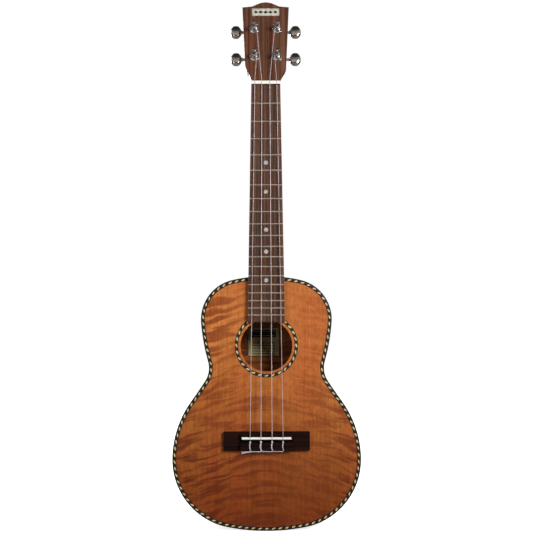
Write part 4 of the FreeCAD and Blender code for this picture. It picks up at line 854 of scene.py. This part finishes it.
def key_button(letter):
    """Cast knob: two crowned faces with a rolled rim, a waist and a neck on the shaft."""
    origin, outward, up, out = key_frame(letter)
    middle = 0.5 * (BUTTON_NEAR + BUTTON_FAR)
    half_x, half_u = 0.5 * (BUTTON_FAR - BUTTON_NEAR), 0.5 * BUTTON_H
    # share of the outline's size, share of the half thickness
    profile = [(0.0, 1.0), (0.3, 0.975), (0.55, 0.91), (0.72, 0.83), (0.80, 0.77), (0.86, 0.66),
               (0.93, 0.52), (0.98, 0.36), (1.0, 0.18), (1.0, 0.0)]
    profile += [(share, -height) for share, height in reversed(profile[:-1])]
    count = 72
    vertices, faces = [], []
    for share, height in profile:
        for step in range(count):
            x, u = rim_point(2 * math.pi * (step + 0.5) / count)
            vertices.append(origin + outward * (middle + half_x * x * max(share, 1e-3))
                            + up * (half_u * u * max(share, 1e-3))
                            + out * (0.5 * BUTTON_T * height))
    for ring in range(len(profile) - 1):
        faces += loop_faces(ring * count, (ring + 1) * count, count)
    faces.append(tuple(range(count)))
    last = (len(profile) - 1) * count
    faces.append(tuple(last + step for step in range(count)))
    made = piece_from("knob_" + letter, vertices, faces, "chrome", "key_" + letter, True)
    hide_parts("button_" + letter)
    collar = lathe("knob_neck_" + letter, origin, outward, up, [
        (0.0, BUTTON_NECK), (2.3 * MM, BUTTON_NECK), (2.7 * MM, BUTTON_NECK + 0.3 * MM),
        (2.7 * MM, BUTTON_NECK + 0.8 * MM), (2.2 * MM, BUTTON_NECK + 1.2 * MM),
        (2.5 * MM, BUTTON_NEAR), (3.4 * MM, BUTTON_NEAR + 1.2 * MM),
        (3.6 * MM, BUTTON_NEAR + 2.6 * MM), (0.0, BUTTON_NEAR + 3.0 * MM),
    ], "chrome", "key_" + letter)


# ==== label and head plate ====
PLATE_DIAMONDS = 5
LABEL_LINES = 5
LABEL_FACE = 2.4 * MM         # the label's face, inside the back's outer face
PRINT_T = 0.05 * MM


def flat_shape(outline, centre, across, up, out, thickness):
    """Vertices and faces of a thin prism from a list of (x, u) points."""
    count = len(outline)
    vertices = []
    for height in (0.0, thickness):
        for x, u in outline:
            vertices.append(centre + across * x + up * u + out * height)
    faces = [tuple(range(count)), tuple(range(2 * count - 1, count - 1, -1))]
    return vertices, faces + loop_faces(0, count, count)


def flat_pieces(name, outlines, centre, across, up, out, thickness, material, body):
    """One object of several thin prisms lying on a plane."""
    vertices, faces = [], []
    for outline in outlines:
        own, sides = flat_shape(outline, centre, across, up, out, thickness)
        faces += [tuple(len(vertices) + index for index in side) for side in sides]
        vertices += own
    return piece_from(name, vertices, faces, material, body, False)


def rectangle(x, u, width, height):
    return [(x - width / 2, u - height / 2), (x + width / 2, u - height / 2),
            (x + width / 2, u + height / 2), (x - width / 2, u + height / 2)]


def lozenge(x, u, width, height):
    return [(x - width / 2, u), (x, u - height / 2), (x + width / 2, u), (x, u + height / 2)]


def frame_bars(width, height, line):
    """Four bars of a rectangular border."""
    return [rectangle(0, height / 2, width, line), rectangle(0, -height / 2, width, line),
            rectangle(-width / 2, 0, line, height - line),
            rectangle(width / 2, 0, line, height - line)]


def head_plate_pattern():
    """Dark inlay in the pearl plate: a thin border round a row of equal, wide diamonds."""
    low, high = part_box("head_plate")
    _, across, up, out = head_frame("c")
    middle = 0.5 * (low + high)
    lift = (middle - Vector(JOINTS["peg_turn_c"]["pos_m"])).dot(out)
    centre = middle - out * lift - out * 0.02 * MM
    width, height = high.x - low.x, (high.z - low.z) / up.z
    outlines = frame_bars(width - 1.6 * MM, height - 1.9 * MM, 0.35 * MM)
    step = (width - 3.4 * MM) / PLATE_DIAMONDS
    for index in range(PLATE_DIAMONDS):
        outlines.append(lozenge((index - (PLATE_DIAMONDS - 1) / 2) * step, 0, step, 4.6 * MM))
    made = flat_pieces("head_plate_pattern", outlines, centre, across, up, out, 0.06 * MM,
                       "dark_inlay", "instrument")


def label_print():
    """Generic print on the label: a border, a plain dark band and centred ruled lines."""
    low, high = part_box("label")
    out = Vector((0, -1, -BACK_SLOPE)).normalized()
    across = Vector((1, 0, 0))
    up = out.cross(across)
    middle = 0.5 * (low + high)
    centre = Vector((middle.x, back_y(middle.z), middle.z)) + out * LABEL_FACE
    width, height = high.x - low.x, high.z - low.z
    outlines = frame_bars(width - 1.2 * MM, height - 1.2 * MM, 1.0 * MM)
    outlines.append(rectangle(0, 0.27 * height, width * 0.76, 0.24 * height))
    for index in range(LABEL_LINES):
        outlines.append(rectangle(0, -(0.04 + 0.09 * index) * height, 0.68 * width, 0.8 * MM))
    made = flat_pieces("label_print", outlines, centre, across, up, out, PRINT_T,
                       "label_ink", "instrument")
    light = [rectangle(0, (0.27 + side * 0.07) * height, width * 0.68, 0.6 * MM)
             for side in (-1, 1)]
    marks = flat_pieces("label_marks", light, centre + out * 0.06 * MM, across, up, out,
                        PRINT_T, "label_paper", "instrument")


# ==== finishes of the CAD pieces ====
FINISHES = {
    "curly_top": ("soundboard",),
    "curly_back": ("back_plate",),
    "black_fibre": ("black_lines", "top_binding", "back_binding"),
    "inside_wood": ("neck_block", "tail_block", "linings", "soundboard_braces", "bridge_plate",
                    "back_braces"),
    "label_paper": ("label",),
    "dark_rosewood": ("bridge",),
    "bone": ("saddle", "nut"),
    "mahogany": ("neck",),
    "rosewood": ("fingerboard", "heel_cap"),
    "head_rosewood": ("head_veneer",),
    "pearl": ("head_plate",),
    "dot_pearl": ("position_dots",),
    "fret_wire": ("frets",),
    "chrome": ("tuner_housings", "tuner_base_plates", "tuner_screws", "tuner_bushings",
               "tuner_washers") + tuple("post_" + x for x in LETTERS)
    + tuple("button_screw_" + x for x in LETTERS),
    "steel": tuple("worm_shaft_" + x for x in LETTERS),
    "brass": tuple("worm_wheel_" + x for x in LETTERS),
}


def finish_cad_pieces():
    for key, names in FINISHES.items():
        for name in names:
            mesh = frame["nodes"][name].data
            mesh.materials.clear()
            mesh.materials.append(MATERIALS[key])


# ==== stage, lights, camera ====
# the room's colour from straight below (0) over the horizon (0.5) to straight above (1)
ROOM = ((0.0, (0.26, 0.23, 0.20)), (0.30, (0.36, 0.31, 0.26)), (0.37, (0.08, 0.08, 0.07)),
        (0.655, (0.08, 0.08, 0.08)), (0.675, (0.50, 0.38, 0.31)), (0.775, (0.58, 0.43, 0.35)),
        (0.80, (0.18, 0.22, 0.20)), (0.84, (0.28, 0.33, 0.31)), (0.86, (0.03, 0.03, 0.03)),
        (1.0, (0.03, 0.03, 0.03)))
WINDOW_WAY = (0.73, -0.66, -0.08)
WINDOW_LIGHT = 1.7
CAMERA_PLACE = (0.2, -1200.0, 258.3)   # millimetres, y from the soundboard's face
CAMERA_TILT = 3.13                     # degrees above level
CAMERA_ROLL = 0.14
CAMERA_LENS = 65.4


def world_light():
    """White to the camera; to everything else a dim room, dark above and warm below."""
    world = bpy.data.worlds.new("studio")
    bpy.context.scene.world = world
    world.use_nodes = True
    tree = world.node_tree
    tree.nodes.clear()

    def made(kind, **settings):
        node = tree.nodes.new(kind)
        for key, value in settings.items():
            setattr(node, key, value)
        return node

    def join(source, target):
        tree.links.new(source, target)

    way = made("ShaderNodeTexCoord").outputs["Generated"]
    parts = made("ShaderNodeSeparateXYZ")
    join(way, parts.inputs[0])
    mapped = made("ShaderNodeMapRange")
    mapped.inputs["From Min"].default_value = -1.0
    join(parts.outputs["Z"], mapped.inputs["Value"])
    ramp = made("ShaderNodeValToRGB")
    join(mapped.outputs["Result"], ramp.inputs["Fac"])
    stops = ramp.color_ramp.elements
    stops[0].position, stops[0].color = ROOM[0][0], ROOM[0][1] + (1,)
    stops[1].position, stops[1].color = ROOM[-1][0], ROOM[-1][1] + (1,)
    for position, colour in ROOM[1:-1]:
        stops.new(position).color = colour + (1,)
    room = made("ShaderNodeBackground")
    join(ramp.outputs["Color"], room.inputs["Color"])
    aim = made("ShaderNodeVectorMath", operation="DOT_PRODUCT")
    join(way, aim.inputs[0])
    aim.inputs[1].default_value = Vector(WINDOW_WAY).normalized()
    patch = made("ShaderNodeMapRange", interpolation_type="SMOOTHSTEP")
    join(aim.outputs["Value"], patch.inputs["Value"])
    for socket, number in (("From Min", 0.97), ("From Max", 0.985), ("To Max", WINDOW_LIGHT)):
        patch.inputs[socket].default_value = number
    window = made("ShaderNodeBackground")
    join(patch.outputs["Result"], window.inputs["Strength"])
    both = made("ShaderNodeAddShader")
    join(room.outputs[0], both.inputs[0])
    join(window.outputs[0], both.inputs[1])
    white = made("ShaderNodeBackground")
    white.inputs["Color"].default_value = (1, 1, 1, 1)
    choice = made("ShaderNodeMixShader")
    join(made("ShaderNodeLightPath").outputs["Is Camera Ray"], choice.inputs["Fac"])
    join(both.outputs[0], choice.inputs[1])
    join(white.outputs[0], choice.inputs[2])
    join(choice.outputs[0], made("ShaderNodeOutputWorld").inputs["Surface"])


def light(name, kind, place, target, power, **settings):
    """Light aimed at a target. settings are the light's own, such as its size."""
    data = bpy.data.lights.new(name, kind)
    data.energy = power
    for key, value in settings.items():
        setattr(data, key, value)
    made = put(name, data)
    made.location = place
    made.rotation_euler = (Vector(target) - Vector(place)).to_track_quat("-Z", "Y").to_euler()


def floor():
    """Plain white floor under the tail, with a painted contact shadow: its glow is dimmed where
    ambient occlusion finds the instrument close.
    """
    reach = 6.0
    mesh = bpy.data.meshes.new("floor")
    mesh.from_pydata([(-reach, -reach, 0), (reach, -reach, 0), (reach, reach, 0),
                      (-reach, reach, 0)], [], [(0, 1, 2, 3)])
    made = put("floor", mesh)
    shade = Shade("floor_white", Base_Color=(0.8, 0.8, 0.8, 1), Roughness=0.9,
                  Emission_Color=(1, 1, 1, 1), Emission_Strength=0.93)
    shade.surface.inputs["Specular IOR Level"].default_value = 0.0
    # painted contact shadow: the glow falls from 0.96 to 0.80 as ambient occlusion within 5 cm
    # darkens
    painted_contact_shadow = shade.node("ShaderNodeAmbientOcclusion", samples=8)
    painted_contact_shadow.inputs["Distance"].default_value = 0.05
    shade.feed(shade.surface.inputs["Emission Strength"],
               shade.span(painted_contact_shadow.outputs["AO"], 0.2, 1.0, 0.80, 0.96))
    mesh.materials.append(shade.material)
    made.visible_glossy = False
    made.visible_diffuse = False


def camera():
    data = bpy.data.cameras.new("camera")
    data.sensor_width = 36.0
    data.lens = CAMERA_LENS
    made = put("camera", data)
    made.location = design(*CAMERA_PLACE)
    made.rotation_euler = (math.radians(90 + CAMERA_TILT), math.radians(CAMERA_ROLL), 0)
    bpy.context.scene.camera = made


def build():
    bpy.context.scene.view_settings.view_transform = "Standard"
    make_materials()
    camera()
    world_light()
    floor()
    light("key", "SPOT", (0.95, -1.4, 0.95), (0, 0, 0.35), 137, spot_blend=1.0,
          spot_size=math.radians(44), shadow_soft_size=0.34)
    light("fill", "AREA", (-1.3, -1.7, 0.5), (0, 0, 0.3), 7, shape="DISK", size=1.2)
    light("back_key", "AREA", (-0.9, 1.5, 1.0), (0, 0, 0.3), 30, shape="DISK", size=0.8)
    finish_cad_pieces()
    edge_rope()
    hole_rope()
    bent_rib("rib_treble", "side_treble", False)
    bent_rib("rib_bass", "side_bass", True)
    for letter in LETTERS:
        string_wire(letter)
        coil(letter)
        key_button(letter)
    head_plate_pattern()
    label_print()


build()
